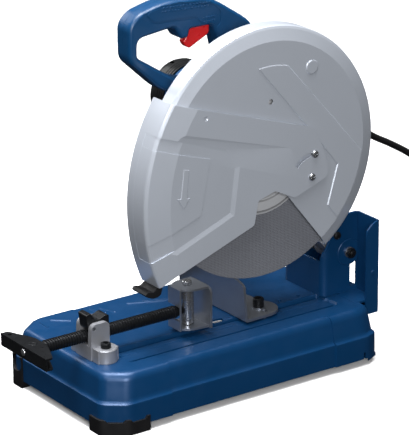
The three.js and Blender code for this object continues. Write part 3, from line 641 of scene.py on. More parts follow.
def swing_guard():
    """A dish cut to its outline, with a large recess at its front, a raised panel and an arrow in it."""
    sides = 220
    recess, proud, thinned = 1.7, 0.9, 0.7
    top = [(-190, 427), (101, 339.8), (16, 330), (6.5, 261), (-98, 221), (-190, 185)]
    floor = [(-190, 420), (-2, 358), (8.5, 329), (0, 265.5), (-101, 227.5), (-190, 192)]
    panel = [(-190, 399.5), (-33.2, 350.3), (-48.9, 272.3), (-190, 223)]
    arrow = [(-77, 344.5), (-68, 342), (-72, 302.5), (-66.5, 301.5), (-78, 288), (-88.5, 304.5), (-82, 304)]
    back = [(u + 1.2 * (1 if u > -150 else 0), v) for u, v in inset(top, -1.2)]
    wide_panel = inset(panel, -1.6)
    panel_face = SHIELD_FACE + recess - proud

    made = solid("swing_guard", lathe(shield_profile(0), SHIELD, sides))
    cut(made, sunk(top, floor, SHIELD_FACE, recess))
    join(made, lathe(shield_profile(recess), SHIELD, sides))
    plateau = solid("plateau", lathe(shield_profile(recess - proud), SHIELD, sides))
    keep(plateau, sunk(wide_panel, panel, SHIELD_FACE, 0.1))
    foot = SHIELD_FACE + recess + 0.05
    keep(plateau, stack("y", (panel, panel_face), (wide_panel, foot), (wide_panel, -60)))
    join(made, taken(plateau), raised(arrow, panel_face, 0.8, 0.9))

    hollow = solid("hollow", lathe(shield_hollow(0), SHIELD, sides))
    cut(hollow, sunk(back, inset(floor, -1.2), SHIELD_FACE + 1.5, recess - thinned))
    join(hollow, lathe(shield_hollow(recess - thinned), SHIELD, sides))
    outline = [
        (-170, 452.5), (-114.6, 444.6), (140.8, 362.3), (158.5, 331), (167.5, 302.7), (167.7, 284.9),
        (110.1, 264.5), (76.3, 281.9), (47.2, 273.5), (40.3, 239), (-88.8, 192.6), (-170, 145.7),
    ]
    radii = [0, 0, 9, 30, 14, 9, 3, 3, 4, 4, 0, 0]
    keep(made, plate(rounded(outline, radii), "y", -97, -44))
    cut(made, taken(hollow))

    across, up = SLOT_SCREW[0] - SHIELD_PIVOT[0], SLOT_SCREW[1] - SHIELD_PIVOT[1]
    reach, start = math.hypot(across, up), math.degrees(math.atan2(up, across))
    slot = circle(*SHIELD_PIVOT, reach + 3.6, 24, start - 6, start + 62)
    slot += reversed(circle(*SHIELD_PIVOT, reach - 3.6, 24, start - 6, start + 62))
    bore = rod("y", 3.4, -99, -90, SHIELD_PIVOT, 32)
    dimple = lathe([(0, -97), (3.6, -97), (3.6, -96), (2.4, -95.2), (0, -95)], (-40.2, 409.2), 32)
    piece("swing_guard", made, "guard_metal", "guard", 0.35, 24,
          [plate(slot, "y", -99, -90), bore, dimple], sharp=7)


def fixed_guard():
    """A dish round the wheel, open below, with a bent raised strip and a plain round boss."""
    sides = 220
    outer = [
        (0, GUARD_FACE), (165, GUARD_FACE), (166, -90.9), (182, -86), (185, -84.6), (186.3, -81.5),
        (186.3, -60), (0, -60),
    ]
    inner = [
        (0, -89.4), (164.4, -89.4), (181.2, -84.4), (183.6, -83.2), (184.7, -80.5), (184.7, -61.6),
        (0, -61.6),
    ]

    def at(radius, *angles):
        turns = [math.radians(a) for a in angles]
        return [(WHEEL[0] + radius * math.cos(a), WHEEL[1] + radius * math.sin(a)) for a in turns]

    strip = at(132.5, 97.5, 92.5, 87.5, 82.5, 77.5, 75.5) + [(178.5, 370.2)]
    strip += at(165, -7.5, -15, -22, -29, -36, -43) + [(170.2, 239.8), (187.4, 297.2), (127.2, 370.9)]
    boss = [
        (0, GUARD_FACE + 1), (10.5, GUARD_FACE + 1), (10.5, GUARD_FACE), (9.6, GUARD_FACE - 1.1),
        (8.4, GUARD_FACE - 1.4), (0, GUARD_FACE - 1.4),
    ]
    made = solid("fixed_guard", lathe(outer, WHEEL, sides))
    join(made, raised(strip, GUARD_FACE, 1.1, 1.4), lathe(boss, (142.3, 447.5), 48))
    cut(made, lathe(inner, WHEEL, sides))
    below = WHEEL[1] - 22
    opening = [(WHEEL[0] + 2, below), *at(300, -54, -85, -130, -172), (WHEEL[0] - 36, below)]
    cuts = [plate(opening, "y", -96, -40)]
    for spot, radius in ((SLOT_SCREW, 3.2), (SHIELD_PIVOT, 3.2), ((72.2, 410.4), 4)):
        cuts.append(rod("y", radius, -95, -86, spot, 32))
    cuts.append(rod("y", 21, -64, -58, WHEEL, 48))
    piece("fixed_guard", made, "guard_metal", "arm", 0.35, 24, cuts, sharp=7)


def screws():
    """Pan-head screws with a cross recess."""
    face = SHIELD_FACE
    head = [
        (0, face - 3.6), (2.6, face - 3.4), (4.6, face - 2.5), (5.5, face - 1.1), (5.6, face - 0.3),
        (2.9, face - 0.3), (2.9, -87), (0, -87),
    ]
    for name, spot in (("guard_pivot_screw", SHIELD_PIVOT), ("guard_slot_screw", SLOT_SCREW)):
        piece(name, lathe(head, spot, 40), "plain_steel", "arm", 0.15,
              cuts=cross_recess(spot, face - 5, face - 1.8))


# ---- wheel
def wheel():
    grinding = [
        (12.9, -77.5), (176.7, -77.5), (177.5, -76.9), (177.5, -75.1), (176.7, -74.5), (12.9, -74.5),
    ]
    piece("cutting_wheel", lathe(grinding, WHEEL, 200), "abrasive", "wheel", 0)
    paper = [(30.3, -78.2), (84.6, -78.2), (85, -78.0), (85, -77.8), (30.3, -77.8)]
    piece("wheel_label", lathe(paper, WHEEL, 140), "label", "wheel", 0)
    flange = [
        (6, -82.5), (15, -82.5), (16, -81.5), (24, -81.2), (26, -82), (29.2, -82), (30, -81.2), (30, -77.8),
        (6, -77.8),
    ]
    piece("outer_flange", lathe(flange, WHEEL, 96), "plain_steel", "wheel", 0.2)
    turned = [(0, -89), (8.2, -89), (9.8, -88), (9.8, -82.8), (0, -82.8)]
    bolt = hex_bolt("clamp_bolt", "y", WHEEL, turned, 64, (4.8, -83, -67))
    piece("clamp_bolt", bolt, "black_oxide", "wheel", 0.2)


# ---- base
def base_outline(step_in):
    front, rear, side = -228.5 + step_in, 235.5 - step_in, HALF_WIDTH - step_in
    near = [(front, -side + 24), (front + 31, -side), (rear - 20, -side), (rear, -side + 10)]
    outline = near + [(x, -y) for x, y in reversed(near)]
    return rounded(outline, [9, 9, 10, 7, 7, 10, 9, 9], 4)


def base_skin(narrowed=0.0, lowered=0.0):
    """The pressed box from skirt to crown: each level is an inset and a height."""
    levels = [
        (0, 8 if lowered else 10), (0, 41), (0.5, 43.2), (2.2, 44.8), (3.6, 47), (4.2, 51), (7.6, 73),
        (8.6, 77.5), (10.8, 81.2), (13.4, 83.3), (17, TABLE),
    ]
    return stack("z", *[(base_outline(step_in + narrowed), z - lowered) for step_in, z in levels])


def groove(x0, x1, y0, y1, floor, slope, radius):
    """A channel pressed into the table, with rounded ends and a slope on each side."""
    def outline(grow):
        return rounded(rect(x0 - grow, x1 + grow, y0 - grow, y1 + grow), radius + grow, 6)

    return stack("z", (outline(slope), TABLE + 1), (outline(0), floor))


def rib(start, end):
    """A raised bead along a line on the table."""
    width, height, sunk_by = 6.0, 1.2, 0.6
    start, end = Vector(start), Vector(end)
    along = (end - start).normalized()
    side = Vector((-along.y, along.x)) * width / 2
    outline = rounded([tuple(p) for p in (start + side, end + side, end - side, start - side)], 2.6, 3)
    return stack("z", (outline, TABLE - sunk_by), (outline, TABLE), (inset(outline, 1.3), TABLE + height))


def base_pan():
    """An open pressing with recessed side panels, a trough for the vise, ribs, holes and corner tabs."""
    wall, panel_depth = 3, 2.3
    made = solid("base_pan", base_skin())
    for side in (-1, 1):
        plan = [(-127.5, side * 150), (-122.5, side * 110), (150.5, side * 110), (161, side * 150)]
        panel = solid("panel", plate(plan, "z", 0, 90))
        cut(panel, base_skin(panel_depth))
        cut(made, taken(panel))
    cut(made, base_skin(wall, wall))
    join(made, box(-170, 197, -92, -37, 73, 83))
    ribs = (
        ((-148, 83), (-172, 104)), ((-92, 78), (-104, 106)), ((-79, 74), (-91, 100)), ((4, 68), (-50, 92)),
        ((30, 62), (-26, 86)),
    )
    join(made, *[rib(*ends) for ends in ribs])
    pad = [(-192, 80), (-186, 80), (-184, 104), (-190, 104)]
    join(made, stack("z", (pad, TABLE - 0.6), (inset(pad, 1.2), TABLE + 1.1)))
    tabs = []
    b = HALF_WIDTH
    for side in (-1, 1):
        tab = [
            (214, b), (216, b - 0.3), (235.2, b - 10), (235.5, b - 16), (232.5, b - 16), (232.3, b - 11.5),
            (215.5, b - 3),
        ]
        shelf = [(164, b - 1.5), (164, 70), (234, 70), (234, b - 12), (214, b - 1.5)]
        tabs.append(plate([(u, side * v) for u, v in tab], "z", 6, 11))
        tabs.append(plate([(u, side * v) for u, v in shelf], "z", 10, 13))
    join(made, *tabs)
    cuts = [
        groove(-166, 193, -61, -41, 80.8, 3.0, 9), groove(-166, 193, -89, -61.5, 80.8, 3.0, 9),
        groove(-164, 191, -88.5, -82, 76.4, 1.6, 3.2), groove(-164, 191, -48, -41.5, 76.4, 1.6, 3.2),
    ]
    cuts += [rod("z", 3, 70, 90, (x, -30), 24) for x in (133, 166)]
    cuts.append(plate(rounded(rect(8, 27, -40, -33), 3.4), "z", 70, 90))
    cuts += [rod("z", 4.6, 70, 90, spot, 24) for spot in ((-188.5, -66), (-188.5, -10), (87, -41))]
    cuts.append(box(206, 210.5, -140, -126, 0, 20))
    piece("base_pan", made, "blue_paint", "base", 0.8, 28, cuts, sharp=34)


def pivot_bracket():
    """A channel with round front corners, a low wall at its rear, the rear column, and its bolts."""
    near, far, front, rear, top = -57, 38, 190, 255, 203
    sheet, column_near, column_foot = 4, -103, 62
    outer = rounded(rect(front, rear, near, far), [11, 0, 0, 11], 8)
    inner = rounded(rect(front + sheet, rear + 5, near + sheet, far - sheet), [7, 0, 0, 7], 8)
    side_view = [(189, SEAT), (rear, SEAT), (rear, top), (212, top), (201, 165), (189, 138)]
    flange = [(233, 66), (237, column_foot), (rear, column_foot), (rear, top), (243, 198), (233, 188)]
    flange_bolt = [(0, -101), (3.4, -101), (3.4, -103.1), (2.8, -103.8), (0, -104)]
    window = [(239, 90), (251.5, 90), (251.5, 126), (243, 133), (239, 133)]

    made = solid("pivot_bracket", plate(outer, "z", SEAT, top))
    keep(made, plate(rounded(side_view, [0, 0, 5, 8, 10, 3]), "y", near, far))
    cut(made, plate(inner, "z", SEAT + sheet, top + 5))
    join(made, *[rod("y", 20, y, y + 2.4, PIVOT, 64, 1.0) for y in (near - 1.4, far - 1)])
    join(
        made,
        box(rear - 3, rear, column_near, near + 1, column_foot, top),
        plate(rounded(flange, [2, 2, 2, 3, 6, 5], 4), "y", column_near, column_near + 3),
        box(rear - 4, rear, 4, 36, SEAT, 123),
        box(214, 252.5, column_near + 2.5, near + 2, 81.5, SEAT + 0.2),
        lathe(flange_bolt, (245, 125), 32),
    )
    cuts = [
        rod("y", 8.2, near - 5, far + 5, PIVOT, 48, 0), rod("y", 3.3, near - 5, near + 6, STOP, 32, 0),
        plate(rounded(window, [3, 2, 3, 3, 3], 4), "y", near - 1, near + 5),
        box(185, 200, near + 8, far - 8, 136, 170),
    ]
    piece("pivot_bracket", made, "blue_paint", "base", 0.7, 28, cuts, sharp=34)

    for name, low, tip in (("pivot_bolt", near - 9.5, (-69, -60)), ("pivot_nut", far + 4.5, (44, 50))):
        high = low + 5
        turned = [(0, low), (6.9, low), (8, low + 1), (8, high - 1), (6.9, high), (0, high)]
        piece(name, hex_bolt(name, "y", PIVOT, turned, 48, (4, *tip)), "black_oxide", "base", 0.3)
    stop = [
        (0, -61.5), (3.5, -61.4), (5.6, -60.2), (6, -58.6), (6, -57.3), (3, -57.3), (3, -50), (0, -50),
    ]
    cross = cross_recess(STOP, -63, -60.4)
    piece("stop_screw", lathe(stop, STOP, 40), "black_oxide", "base", 0.2, cuts=cross)


def feet():
    """A shoe round each front corner; the far one reaches higher and has a round hole."""
    for name, high in (("foot_front_near", 22), ("foot_front_far", 46)):
        far = name.endswith("far")
        outer = rounded([(-231.5, -87), (-231.5, -112.5), (-199, -136.5), (-164, -136.5)], [0, 6, 6, 0], 4)
        wall = rounded([(-228.2, -84), (-228.2, -110), (-197.3, -133.2), (-160, -133.2)], [0, 8, 8, 0], 4)
        rim = outer + [(-164, -133.2)] + wall[::-1][1:-1] + [(-228.2, -87)]
        cuts = [rod("x", 13, -260, -150, (-100, 36), 48)] if far else []
        cuts += [box(x, x + 1.2, -140, -136.0, 2, 16) for x in (-190, -176)]
        if not far:
            cuts.append(plate([(-226, 23), (-200, 23), (-204, 18.5), (-222, 18.5)], "y", -150, -80))
            cuts.append(plate([(-196, 23), (-168, 23), (-172, 18), (-192, 18)], "y", -150, -120))
        made = solid(name, plate(outer + [(-164, -124), (-219, -87)], "z", 0, 9.7))
        join(made, plate(rim, "z", 9, high))
        cut(made, *cuts)
        if far:
            mirror(made)
        piece(name, made, "black_rubber", "base", 1.0, 40)


# ---- handle and trigger
def handle_half(name, seam, side):
    """One moulded half, from its seam to its rounded outer face, with a sunk line round its grip."""
    outer = [
        (-112, 482), (-112, 532), (-96, 547), (-52, 557.5), (12, 554), (36, 543), (96, 503), (110, 440),
        (110, 402), (44, 402), (-54, 428),
    ]
    opening = [
        (-98, 486), (-98, 512), (-37, 519), (-26, 500), (-15, 500), (-12, 512), (26, 512), (34, 492),
        (46, 440), (20, 432), (-38, 447),
    ]
    line_outer = [
        (-92, 545), (-73, 529), (-5, 526), (5, 514), (33, 509), (38, 513), (38, 531), (26, 543),
        (-30, 553.5), (-76, 552),
    ]
    line_inner = [
        (-84, 543.5), (-71, 532.5), (-3, 529.5), (8, 517), (31, 513), (34, 516), (34, 529.5), (24, 540),
        (-30, 550), (-74, 549),
    ]
    crease = [(-46, 436.5), (40, 413), (40, 416), (-44, 440)]

    def out(height):
        return seam + side * height

    def moulded(outline, radii, levels):
        return stack("y", *[(rounded(inset(outline, i), radii, 6), out(height)) for height, i in levels])

    levels = [(0, 0), (10, 0), (13.2, 0.6), (15.2, 1.8), (16.4, 3.4), (16.85, 5)]
    made = solid(name, moulded(outer, [10, 14, 14, 30, 26, 22, 22, 16, 4, 4, 22], levels))
    levels = [(-1, 0), (10, 0), (13.2, -0.6), (15.2, -1.8), (16.4, -3.4), (17.4, -5.4)]
    hole = moulded(opening, [6, 14, 9, 4, 3, 5, 9, 14, 14, 10, 12], levels)
    cut(made, hole, rod("y", 48.4, -60, 60, MOTOR, 96, 0), box(-14, 28, -12.5, 2.5, 505, 547))
    band, core = rounded(line_outer, 4, 4), rounded(line_inner, 4, 4)
    line = solid("groove", stack("y", (band, out(16.0)), (band, out(18))))
    cut(line, stack("y", (core, out(15.0)), (core, out(19))))
    cut(made, taken(line))

    face = out(16.85)
    spots = [
        (-58 + column * 5.4 + 2.7 * row, 541.5 + row * 5 - 0.05 * (-58 + column * 5.4 + 2.7 * row))
        for row in range(2) for column in range(15)
    ]
    spots += [(10 + column * 4.2, 519 + row * 5.5) for row in range(2) for column in range(5)]
    dot = [(0, out(15.85)), (1.5, out(15.85)), (1.5, face), (1.0, out(17.35)), (0, out(17.45))]
    join(made, merge(*[lathe(dot, spot, 10) for spot in spots]))
    cut(made, stack("y", (crease, face + side), (inset(crease, 0.9), face - side * 1.2)))
    piece(name, made, "blue_plastic", "arm", 0.3, 30, sharp=24)


def handle():
    handle_half("handle_near", -5.15, -1)
    handle_half("handle_far", -4.85, 1)
    outline = rounded([
        (-12.5, 513), (-12.5, 497.5), (-16.5, 493), (-13, 486), (-7, 481.8), (-2, 484), (24, 496.5),
        (26.5, 502), (26.5, 513),
    ], [0, 3, 2, 4, 3, 6, 3, 3, 0])
    levels = [(-11.5, 2.2), (-11.0, 0.9), (-9.8, 0), (-0.2, 0), (1.0, 0.9), (1.5, 2.2)]
    trigger = stack("y", *[(inset(outline, step_in), y) for y, step_in in levels])
    piece("trigger", trigger, "red_plastic", "trigger", 0.2, 40, sharp=35)
    button = [
        (0, 15.6), (5, 15.6), (6.6, 16.4), (7, 17.6), (7, 21.6), (3, 21.6), (3, 28.6), (0, 28.6),
    ]
    piece("spindle_lock", lathe(button, (-34, WHEEL[1]), 48, "x"), "black_plastic", "lock", 0.2)


# ---- motor
def motor():
    """A ribbed housing with vents, its black cap, and the brush cap on top."""
    x, z = MOTOR
    shell = [
        (14, -3.7), (48, -3.7), (48, 110), (47, 112), (47, 125.7), (45, 125.7), (45, 3), (14, 3),
    ]
    angles = [6 + 12 * i for i in range(30)]
    ribs = [spoke(MOTOR, a, 46, 49.1, 1.6, 66, 96) for a in angles if not 70 < a < 110]
    vents = [spoke(MOTOR, -200 - 18 * i, 36, 56, 2, 14, 30) for i in range(6)]
    made = solid("motor_housing", lathe(shell, MOTOR, 120))
    join(made, merge(*ribs), rod("x", 11, x + 45, x + 52, LEAD, 48))
    bores = [rod("x", 8, x + 30, x + 60, LEAD, 32, 0), rod("z", 7.2, z + 30, z + 60, (x, 105), 32, 0)]
    piece("motor_housing", made, "blue_plastic", "arm", 0.4, 30, [merge(*vents), *bores], sharp=24)

    cap = [
        (0, 152), (36, 152), (43, 150), (47.5, 146.5), (49.4, 141), (50, 136), (50, 112.2), (48.4, 112),
        (48.4, 126.2), (45, 126.2), (45, 146), (0, 146),
    ]
    slots = [spoke(MOTOR, -36 * i, 42, 54, 2.5, 133, 143) for i in range(10)]
    grooves = [lathe(rect(49.2, 51, y, y + 1.4), MOTOR, 120) for y in (116, 121, 126)]
    grooves.append(lathe(rect(49, 51, 114.5, 116), MOTOR, 120))
    bars = [box(x - 22, x + 22, 151, 155, z + dz, z + dz + 2.2) for dz in (-14, -7, 0, 7, 14)]
    made = solid("motor_end_cap", lathe(cap, MOTOR, 120))
    cut(made, merge(*slots))
    join(made, lathe(rect(11.3, 14.5, 127, 147), MOTOR, 48))
    cut(made, *grooves)
    piece("motor_end_cap", made, "black_plastic", "arm", 0.5, 30, [merge(*bars)], sharp=30)

    brush = [(0, z + 41), (7, z + 41), (7, z + 48.4), (6, z + 49.4), (0, z + 49.4)]
    slot = box(x - 5, x + 5, 104.2, 105.8, z + 48, z + 52)
    piece("brush_cap", lathe(brush, (x, 105), 40, "z"), "black_plastic", "arm", 0.2, cuts=[slot])


# ---- vise and fence
def thread(centre, radius, x0, x1, lead, depth):
    """A helical ridge wound on a bar along X, as one closed strip of turns."""
    turn_steps = 28
    section = [(-0.42, -0.3), (-0.22, depth), (0.06, depth), (0.26, -0.3)]  # (along in leads, outward)
    bm = bmesh.new()
    rows = []
    for i in range(int((x1 - x0) / lead * turn_steps) + 1):
        c, s = math.cos(2 * math.pi * i / turn_steps), math.sin(2 * math.pi * i / turn_steps)
        x = x0 + lead * i / turn_steps
        rows.append([
            bm.verts.new((x + h * lead, centre[0] + (radius + g) * c, centre[1] + (radius + g) * s))
            for h, g in section
        ])
    cover(bm, rows)
    cap_ends(bm, rows)
    return outward(bm)


def spindle():
    """The threaded bar, its crank pressed from sheet, and the rivet that holds the two."""
    y, z = VISE
    radius, lead = 7.8, 4.2
    bar = [
        (0, -299.7), (6, -299.7), (6, -273), (radius, -271.5), (radius, -52), (6.6, -50.5), (5.5, -50),
        (5.5, -39), (0, -39),
    ]
    threaded = merge(lathe(bar, VISE, 40, "x"), thread(VISE, radius, -268, -54, lead, 1.2))
    piece("vise_spindle", threaded, "black_oxide", "spindle", 0, sharp=30)

    half, front = 57.5, -300
    web = rounded(rect(y - half, y + half, z - 9, z + 9), 1.5)
    plan = rounded([
        (front - 3, y - half), (front + 8, y - half), (front + 26, y - 16), (front + 26, y + 16),
        (front + 8, y + half), (front - 3, y + half),
    ], [0, 3, 10, 10, 3, 0])
    mark = [
        (3.2, z + 8.8), (6.4, z + 8.8), (6.4, z + 9.2), (5.8, z + 9.5), (3.8, z + 9.5), (3.2, z + 9.2),
    ]
    made = solid("crank_handle", plate(web, "x", front - 3, front))
    join(made, plate(plan, "z", z + 6.5, z + 9), plate(plan, "z", z - 9, z - 6.5))
    join(made, lathe(mark, (front + 13, y), 40, "z"))
    hole = rod("z", 3, z - 12, z + 12, (front + 4, y + half - 12), 32)
    piece("crank_handle", made, "black_oxide", "spindle", 0.6, 30, [hole])
    rivet = [(0, -304.8), (3.4, -304.6), (4.7, -303.9), (5, -303.3), (0, -303.3)]
    piece("crank_rivet", lathe(rivet, VISE, 32, "x"), "plain_steel", "spindle", 0)


def jaw():
    """A jaw folded from sheet round a barrel, and the pin that it swivels on."""
    y, z = VISE
    near, far, face, pin, foot, top = y - 30, y + 26, -12, -34, 90, 151
    sheet = rounded([
        (near, foot), (near, 146.5), (near + 9, top), (far - 9, top), (far, 146.5), (far, foot),
    ], [1, 6, 4, 4, 6, 1], 4)
    plan = rounded([
        (face - 1, near + 5), (pin - 8, near + 8), (pin - 23, near + 19), (pin - 23, far - 17),
        (pin - 8, far - 6), (face - 1, far - 5),
    ], [0, 8, 12, 12, 8, 0], 6)
    wall = rounded(rect(pin - 23, pin - 20, near + 14, far - 12), 1)
    made = solid("vise_jaw", plate(sheet, "x", face - 3, face))
    join(
        made, plate(plan, "z", top - 3, top), plate(plan, "z", foot, foot + 3), plate(wall, "z", foot, top),
        box(face - 3, face, near, far, foot, foot + 3),
    )
    opening = box(pin - 25, pin - 18, y - 14.5, y + 30, z - 10.5, z + 10.5)
    cuts = [opening, rod("z", 3.8, 80, 160, (pin, y), 32, 0)]
    piece("vise_jaw", made, "zinc_plate", "jaw", 0.7, 30, cuts)
    barrel = [(3.8, 93.5), (9.1, 93.5), (9.5, 94), (9.5, 147), (9.1, 147.5), (3.8, 147.5)]
    bore = rod("x", 5.8, pin - 12, pin - 4.6, VISE, 40, 0)
    piece("swivel_barrel", lathe(barrel, (pin, y), 64, "z"), "plain_steel", "jaw_carrier", 0.1, cuts=[bore])
    turned = [(0, 151.3), (7.4, 151.3), (7.4, 155.9), (6.2, 157), (0, 157)]
    head = hex_bolt("jaw_pin", "z", (pin, y), turned, 48, (3.5, 85.5, 152))
    piece("jaw_pin", head, "plain_steel", "jaw_carrier", 0.25)


def cap_screw(name, centre, under, head, height, shank, depth):
    """A socket screw: under is the height below its head, head and shank are radii."""
    top = under + height
    profile = [
        (0, under - depth), (shank, under - depth), (shank, under), (head, under), (head, top - 1),
        (head - 0.9, top), (0, top),
    ]
    knurl = [rod("z", 0.45, under + 1, top - 1.4, spot, 6, 0) for spot in circle(*centre, head, 24)]
    socket = plate(circle(*centre, head * 0.58, 6), "z", under + height * 0.4, top + 1)
    piece(name, lathe(profile, centre, 48, "z"), "black_oxide", "base", 0.2, cuts=[merge(*knurl), socket])


def spindle_bracket():
    """The cast fork that carries the spindle, its two screws, and the pawl with the half nut."""
    x0, x1, near, far, top = -207, -176, -57, -19, 136
    z = VISE[1]
    middle, boss_top = x0 + 18.5, SEAT + 18.7
    cheek = rounded([
        (x0, SEAT), (x1 + 4, SEAT), (x1, 97), (x1, top), (x0 + 2, top), (x0, 100),
    ], [1, 2, 3, 8, 9, 4])
    boss = [(0, SEAT), (17, SEAT), (17, 86), (16.4, 101.8), (15.2, boss_top), (0, boss_top)]
    made = solid("spindle_bracket", plate(cheek, "y", near, near + 8))
    join(made, plate(cheek, "y", far - 8, far), box(x0, x1, near + 1, far - 1, SEAT, z - 10.5))
    for spot in (near - 7, far + 7):
        web = rounded(rect(x0 + 1.5, x0 + 35.5, spot - 9, spot + 9), 2)
        join(made, lathe(boss, (middle, spot), 64, "z"))
        join(made, stack("z", (web, SEAT), (inset(web, 0.6), boss_top)))
    holes = [(middle, near - 9), (middle, far + 9)]
    cuts = [rod("z", 4.5, 70, 110, hole, 32, 0) for hole in holes]
    cuts += [rod("y", 2.7, near - 1, far + 1, PAWL, 24, 0), rod("x", 10.2, x0 - 5, x1 + 8, VISE, 48, 0)]
    piece("spindle_bracket", made, "cast_metal", "base", 1.1, 30, cuts, segments=3)
    for name, hole in zip(("bracket_screw_near", "bracket_screw_far"), holes):
        cap_screw(name, hole, boss_top + 0.3, 7, 7, 4, 26)

    low = z + 9.3
    pawl = [
        (x0 + 1.5, 130), (x0 + 3, 126.5), (PAWL[0], low), (-171, low), (-171, 141), (-175, 143),
        (-189, 137.5), (-194, 139), (-200, 150), (-208, 148),
    ]
    pawl = plate(rounded(pawl, [1, 1, 2, 1, 2, 2, 4, 4, 2, 2], 4), "y", near + 8.8, far - 8.8)
    piece("half_nut_pawl", pawl, "black_oxide", "pawl", 0.8, 28, [rod("y", 2.7, near, far, PAWL, 24, 0)])


def fence():
    """A leaning plate with clipped corners on a foot that turns about its bolt."""
    x, near, far, top, lean = 48, -70, 92, 145.5, 4.6
    bolt_x, bolt_y = 87, -41
    profile = [
        (x - lean - 4, top), (x - lean, top), (x - 0.9, SEAT + 7.5), (x + 0.4, SEAT + 4.9),
        (x + 3, SEAT + 4), (x + 3, SEAT), (x - 1, SEAT), (x - 3.2, SEAT + 1), (x - 4.2, SEAT + 4),
    ]
    made = solid("fence", plate(profile, "y", near, far))
    toe = circle(bolt_x, bolt_y, 28, 18, -84, 40)
    plan = [(x, near), *toe, (bolt_x + 16, 10), (bolt_x + 4, far - 8), (x, far - 4)]
    join(made, plate(plan, "z", SEAT, SEAT + 4))
    cuts = []
    for end, inward in ((near, 1), (far, -1)):
        corner = [
            (end - inward, top + 1), (end - inward, top - 9), (end + 2.5 * inward, top - 4.5),
            (end + 18 * inward, top + 1),
        ]
        cuts.append(plate(corner, "x", x - 14, x + 6))
    cuts.append(rod("z", 4.3, 70, 100, (bolt_x, bolt_y), 32, 0))
    cuts.append(plate(rounded(rect(bolt_x - 3, bolt_x + 4, bolt_y - 19, bolt_y - 9), 3), "z", 80, 95))
    cuts.append(plate(rounded(rect(bolt_x - 14, bolt_x - 5.6, 48, 72), 3.5), "z", 80, 95))
    piece("fence", made, "zinc_plate", "fence", 0.5, 30, cuts)
    washer_top = SEAT + 4 + 1.9
    cap_screw("fence_bolt", (bolt_x, bolt_y), washer_top, 8, 13, 3.9, 24)


# ---- boot and plug
def boot():
    """A ribbed sleeve where the cord leaves the motor."""
    x = MOTOR[0]
    profile = [(5.3, x + 46), (7.7, x + 46), (7.7, x + 53)]
    for i in range(6):
        at, r = x + 53.5 + 2.6 * i, 7.6 - 0.2 * i
        profile += [(r - 1.0, at), (r - 1.0, at + 0.9), (r, at + 1.1), (r, at + 2.4)]
    profile += [(5.6, x + 70), (5.3, x + 70)]
    return piece("cord_boot", lathe(profile, LEAD, 40, "x"), "black_rubber", "arm", 0.1)


def plug():
    """A round moulded plug with a ribbed tail and two pins."""
    x, y, z = COIL[0] + 34, COIL[1] - 55, 37.3
    profile = [(0, x), (6.2, x)]
    for i in range(7):
        at, r = x - 1 - 3.7 * i, 5.4 + 0.15 * i
        profile += [(r + 1, at), (r + 1.2, at - 2.3), (r, at - 2.5), (r, at - 3.5)]
    profile += [
        (8, x - 28), (10.5, x - 30), (14, x - 33.5), (16.2, x - 38), (17, x - 43), (17, x - 65.4),
        (15.6, x - 68), (0, x - 68),
    ]
    spans = ((z + 15.2, z + 20), (z - 20, z - 15.2))
    flats = [box(x - 60, x - 45, y - 20, y + 20, *span) for span in spans]
    body = cut(solid("mains_plug", lathe(profile, (y, z), 64, "x")), *flats)
    pin = [(0, x - 87), (1.4, x - 87), (2.4, x - 85.6), (2.4, x - 66), (0, x - 66)]
    pins = merge(*[lathe(pin, (y + s, z), 24, "x") for s in (-9.5, 9.5)])
    body = piece("mains_plug", body, "black_plastic", "base", 0.4, 35)
    return body, piece("plug_pins", pins, "plain_steel", "base", 0, nodes=())


# ---- cord
CORD_ROUTE = [
    (151.3, 30, 373), (163, 30, 373), (196, 30, 366), (250, 30, 340), (300, 30, 308), (344, 30, 276.6),
    (380, 30, 256.5), (415, 30, 235), (452, 24, 205), (484, 8, 165), (505, -14, 115), (515, -38, 65),
    (519.5, -62, 30), (519.8, -80, 12), (519.8, -100, 5.6),
]
CORD_FLOOR, CORD_ABOVE = 5.2, 15.4  # the heights of the coil's two layers


def ease(a, b, t):
    """A smooth step from a to b as t goes from 0 to 1."""
    t = max(0.0, min(1.0, t))
    return a + (b - a) * t * t * (3 - 2 * t)


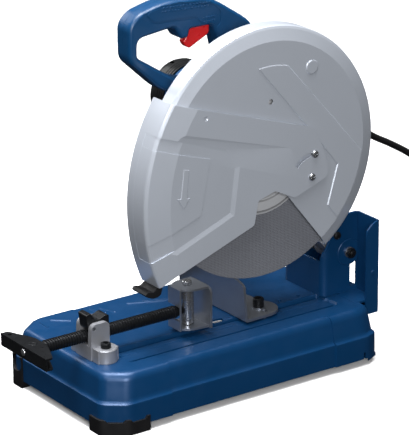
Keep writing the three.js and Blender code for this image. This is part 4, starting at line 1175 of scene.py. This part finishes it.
def coil_spot(total, step_from, step_to):
    """The cord's place after some degrees round the coil; each turn steps sideways in a short arc."""
    outer, inner, pitch, start = 65, 45, 10, -18.9
    lap, rest = divmod(total, 360)
    stepped = lap + ease(0, 1, (rest - step_from) / (step_to - step_from))
    r = outer - pitch * stepped if stepped <= 2 else min(outer, inner + pitch * (stepped - 2))
    if total < 200:
        r = max(r, ease(80.1, outer, total / 150))
    climb_from, climb_to = 2 * 360 + step_from - 75, 2 * 360 + step_from - 5
    z = ease(CORD_FLOOR, CORD_ABOVE, (total - climb_from) / (climb_to - climb_from))
    angle = math.radians(start - total)
    return Vector((COIL[0] + r * math.cos(angle), COIL[1] + r * math.sin(angle), z))


def cord_points():
    """The lead, turns inward on the floor, then back outward on top of them and up to the plug."""
    lead = smooth_path(CORD_ROUTE, 6)
    points, rising = [], []
    for total in range(4, 5 * 360 - 19, 5):
        (rising if total > 1650 else points).append(coil_spot(total, 235.0, 295.0))
    bend = 31
    tail = (COIL[0] + 34, COIL[1] - 55)
    rising += [Vector((tail[0] + bend, y, CORD_ABOVE)) for y in (-79, -84, -90)]
    rising += [Vector((*p, CORD_ABOVE)) for p in circle(tail[0], tail[1] + bend, bend, 12, 0, -90)]
    spans = [0.0]
    for a, b in zip(rising, rising[1:]):
        spans.append(spans[-1] + (b - a).length)
    climb = 21.9
    for spot, along in zip(rising, spans):
        spot.z += ease(0, climb, along / spans[-1])
    return lead + points + rising


def make_cord():
    path = smooth_path(cord_points(), 5)
    made = solid("mains_cord", sweep(path, 5, 14))
    soften(made, 0, 60)
    made.data.materials.append(PAINT["black_rubber"])
    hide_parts("power_cord", "cord_coil")
    plug()
    boot()
    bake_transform(made)


# ---- the model
def carried_over():
    """Every CAD node takes its material and a small edge rounding; the replaced ones aren't seen."""
    slots = {s["node"]: s["material_slot"] for s in frame["record"]["subparts"]}
    for name, obj in NODES.items():
        slot = slots[name]
        obj.data.materials.clear()
        obj.data.materials.append(PAINT["label" if slot == "label_paper" else slot])
        add_edge(obj, 0.5, 32)


make_materials()
look()
carried_over()
for build in (
    base_pan, pivot_bracket, feet, spindle_bracket, spindle, jaw, fence, motor, handle, wheel, fixed_guard,
    swing_guard, screws,
):
    build()
make_cord()
